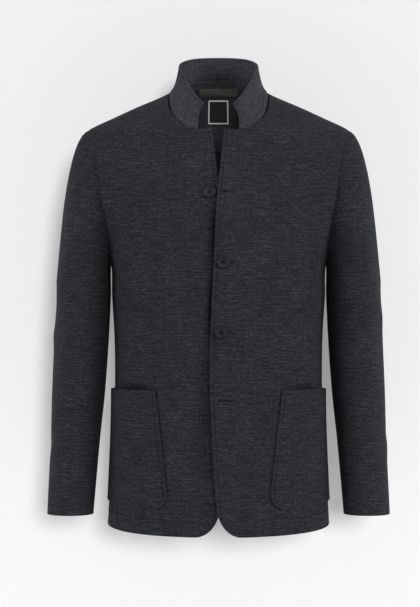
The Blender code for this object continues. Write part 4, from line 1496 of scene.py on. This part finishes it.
for number, row in enumerate(BUTTONHOLES, 1):
    threads = ([], [])
    place, out = on_lap((row.eye + row.tail) / 2, row.height)
    eye = on_lap(row.eye, row.height)[0]
    tail = on_lap(row.tail, row.height)[0]
    level = tail - eye
    # Painted shade: one flat near-black bead for the open slit and one for the eye.
    add_bead(threads, place, level, out, Bead(level.length, 2 * HOLE_HALF_WIDTH, SLIT_SHADE_HEIGHT))
    add_bead(threads, eye, level, out, Bead(2 * HOLE_EYE, 2 * HOLE_EYE, EYE_SHADE_HEIGHT))
    add_bead(threads, tail, UPRIGHT, out, HOLE_BAR)
    count = int((row.tail - row.eye - HOLE_EYE) / HOLE_PITCH)
    for k in range(count):
        across = row.eye + HOLE_EYE + HOLE_PITCH * (k + 0.5)
        for up in (-1, 1):
            spot = on_lap(across, row.height + up * (HOLE_HALF_WIDTH + EDGE_PURL_OFF))[0]
            add_bead(threads, spot, UPRIGHT, out, EDGE_PURL)
    reach = HOLE_EYE + EYE_PURL_OFF
    for k in range(EYE_PURLS):
        swing = math.radians(EYE_FROM + EYE_SWEEP * k / (EYE_PURLS - 1))
        spot = on_lap(row.eye + reach * math.cos(swing), row.height + reach * math.sin(swing))[0]
        outward = level.normalized() * math.cos(swing) + UPRIGHT * math.sin(swing)
        add_bead(threads, spot, outward, out, EYE_PURL)
    finish_threads("buttonhole_%d" % number, threads)


# STUDIO
# A plain pale wall close behind takes the soft shadow, and a pale floor lies below. Soft lights stand round
# the blazer, one more reaches into the neck and one lights the wall. The lens is long and level.
CAMERA_SPOT = (-0.01428, -4.5, -0.3486)
FRAME_HEIGHT_PX = 607
METRES_A_PIXEL = 0.00168
WALL_BEHIND = 0.27
FLOOR_BELOW = -1.25
WALL_GLOW = 0.16    # a weak glow evens out the backdrop
WORLD_STRENGTH = 0.20
SENSOR_HEIGHT = 36.0


def studio_paint(name, colour):
    """Matt white paint with a weak glow. From behind, the wall lets the view through."""
    material, tree, shader = new_material(name, 1.0, 0.0)
    shader.inputs["Base Color"].default_value = linear(colour)
    shader.inputs["Emission Color"].default_value = linear(colour)
    shader.inputs["Emission Strength"].default_value = WALL_GLOW
    clear = add_node(tree, "ShaderNodeBsdfTransparent")
    back = add_node(tree, "ShaderNodeNewGeometry").outputs["Backfacing"]
    pick = add_node(tree, "ShaderNodeMixShader",
                    {0: back, 1: shader.outputs["BSDF"], 2: clear.outputs["BSDF"]})
    tree.links.new(pick.outputs["Shader"], tree.nodes["Material Output"].inputs["Surface"])
    return material


def add_sheet(name, size, move, material):
    plate = bmesh.new()
    bmesh.ops.create_grid(plate, x_segments=1, y_segments=1, size=size)
    bmesh.ops.transform(plate, matrix=move, verts=plate.verts[:])
    mesh = take_mesh(name, plate)
    mesh.materials.append(material)
    sheet = add_object(name, mesh)


paint = studio_paint("studio_paint", "#f4f4f4")
add_sheet("floor", 12.0, Matrix.Translation((0, 0, FLOOR_BELOW)), paint)
upright = Matrix.Rotation(math.radians(90), 4, "X")
add_sheet("wall", 3.0, Matrix.Translation((0, WALL_BEHIND, 0)) @ upright, paint)

world = bpy.data.worlds.new("studio")
world.use_nodes = True
world.node_tree.nodes["Background"].inputs["Color"].default_value = linear("#fbfbff")
world.node_tree.nodes["Background"].inputs["Strength"].default_value = WORLD_STRENGTH
bpy.context.scene.world = world

LightRow = namedtuple("LightRow", "name energy angle above to_right lights")
LIGHTS = (    # soft light from broad boxes, in degrees above the level and to the right of the camera
    LightRow("right_box", 1.65, 30, 10, 66, "garment"),
    LightRow("left_box", 1.55, 30, 10, -66, "garment"),
    LightRow("top_box", 0.5, 60, 68, 0, "garment"),
    LightRow("front_box", 0.80, 12, 28, 25, "garment"),
    LightRow("low_box", 1.15, 12, -28, -25, "garment"),
    LightRow("back_box", 1.4, 30, 15, 180, "garment"),
    LightRow("neck_box", 0.78, 12, 6, 0, "inside"),
    LightRow("backdrop_box", 1.7, 10, 6, 6, "stage"),
)
INSIDE = ("back_neck_facing_cloth", "neck_label_cloth", "square_label_cloth",
          "back_left_cloth", "back_right_cloth")
lit = {name: bpy.data.collections.new("lit_" + name) for name in ("garment", "inside", "stage")}
for piece in bpy.context.scene.collection.objects:
    lit["stage" if piece.name in ("floor", "wall") else "garment"].objects.link(piece)
    if piece.name in INSIDE:
        lit["inside"].objects.link(piece)
for row in LIGHTS:
    light = bpy.data.lights.new(row.name, "SUN")
    light.energy = row.energy
    light.angle = math.radians(row.angle)
    lamp = add_object(row.name, light)
    lamp.rotation_euler = (math.radians(90 - row.above), 0, math.radians(row.to_right))
    lamp.light_linking.receiver_collection = lit[row.lights]

camera = bpy.data.cameras.new("camera")
camera.sensor_fit = "VERTICAL"
camera.sensor_height = SENSOR_HEIGHT
camera.lens = SENSOR_HEIGHT * -CAMERA_SPOT[1] / (FRAME_HEIGHT_PX * METRES_A_PIXEL)
viewer = add_object("camera", camera)
viewer.location = CAMERA_SPOT
viewer.rotation_euler = (math.radians(90), 0, 0)
bpy.context.scene.camera = viewer
bpy.context.scene.view_settings.view_transform = "Standard"
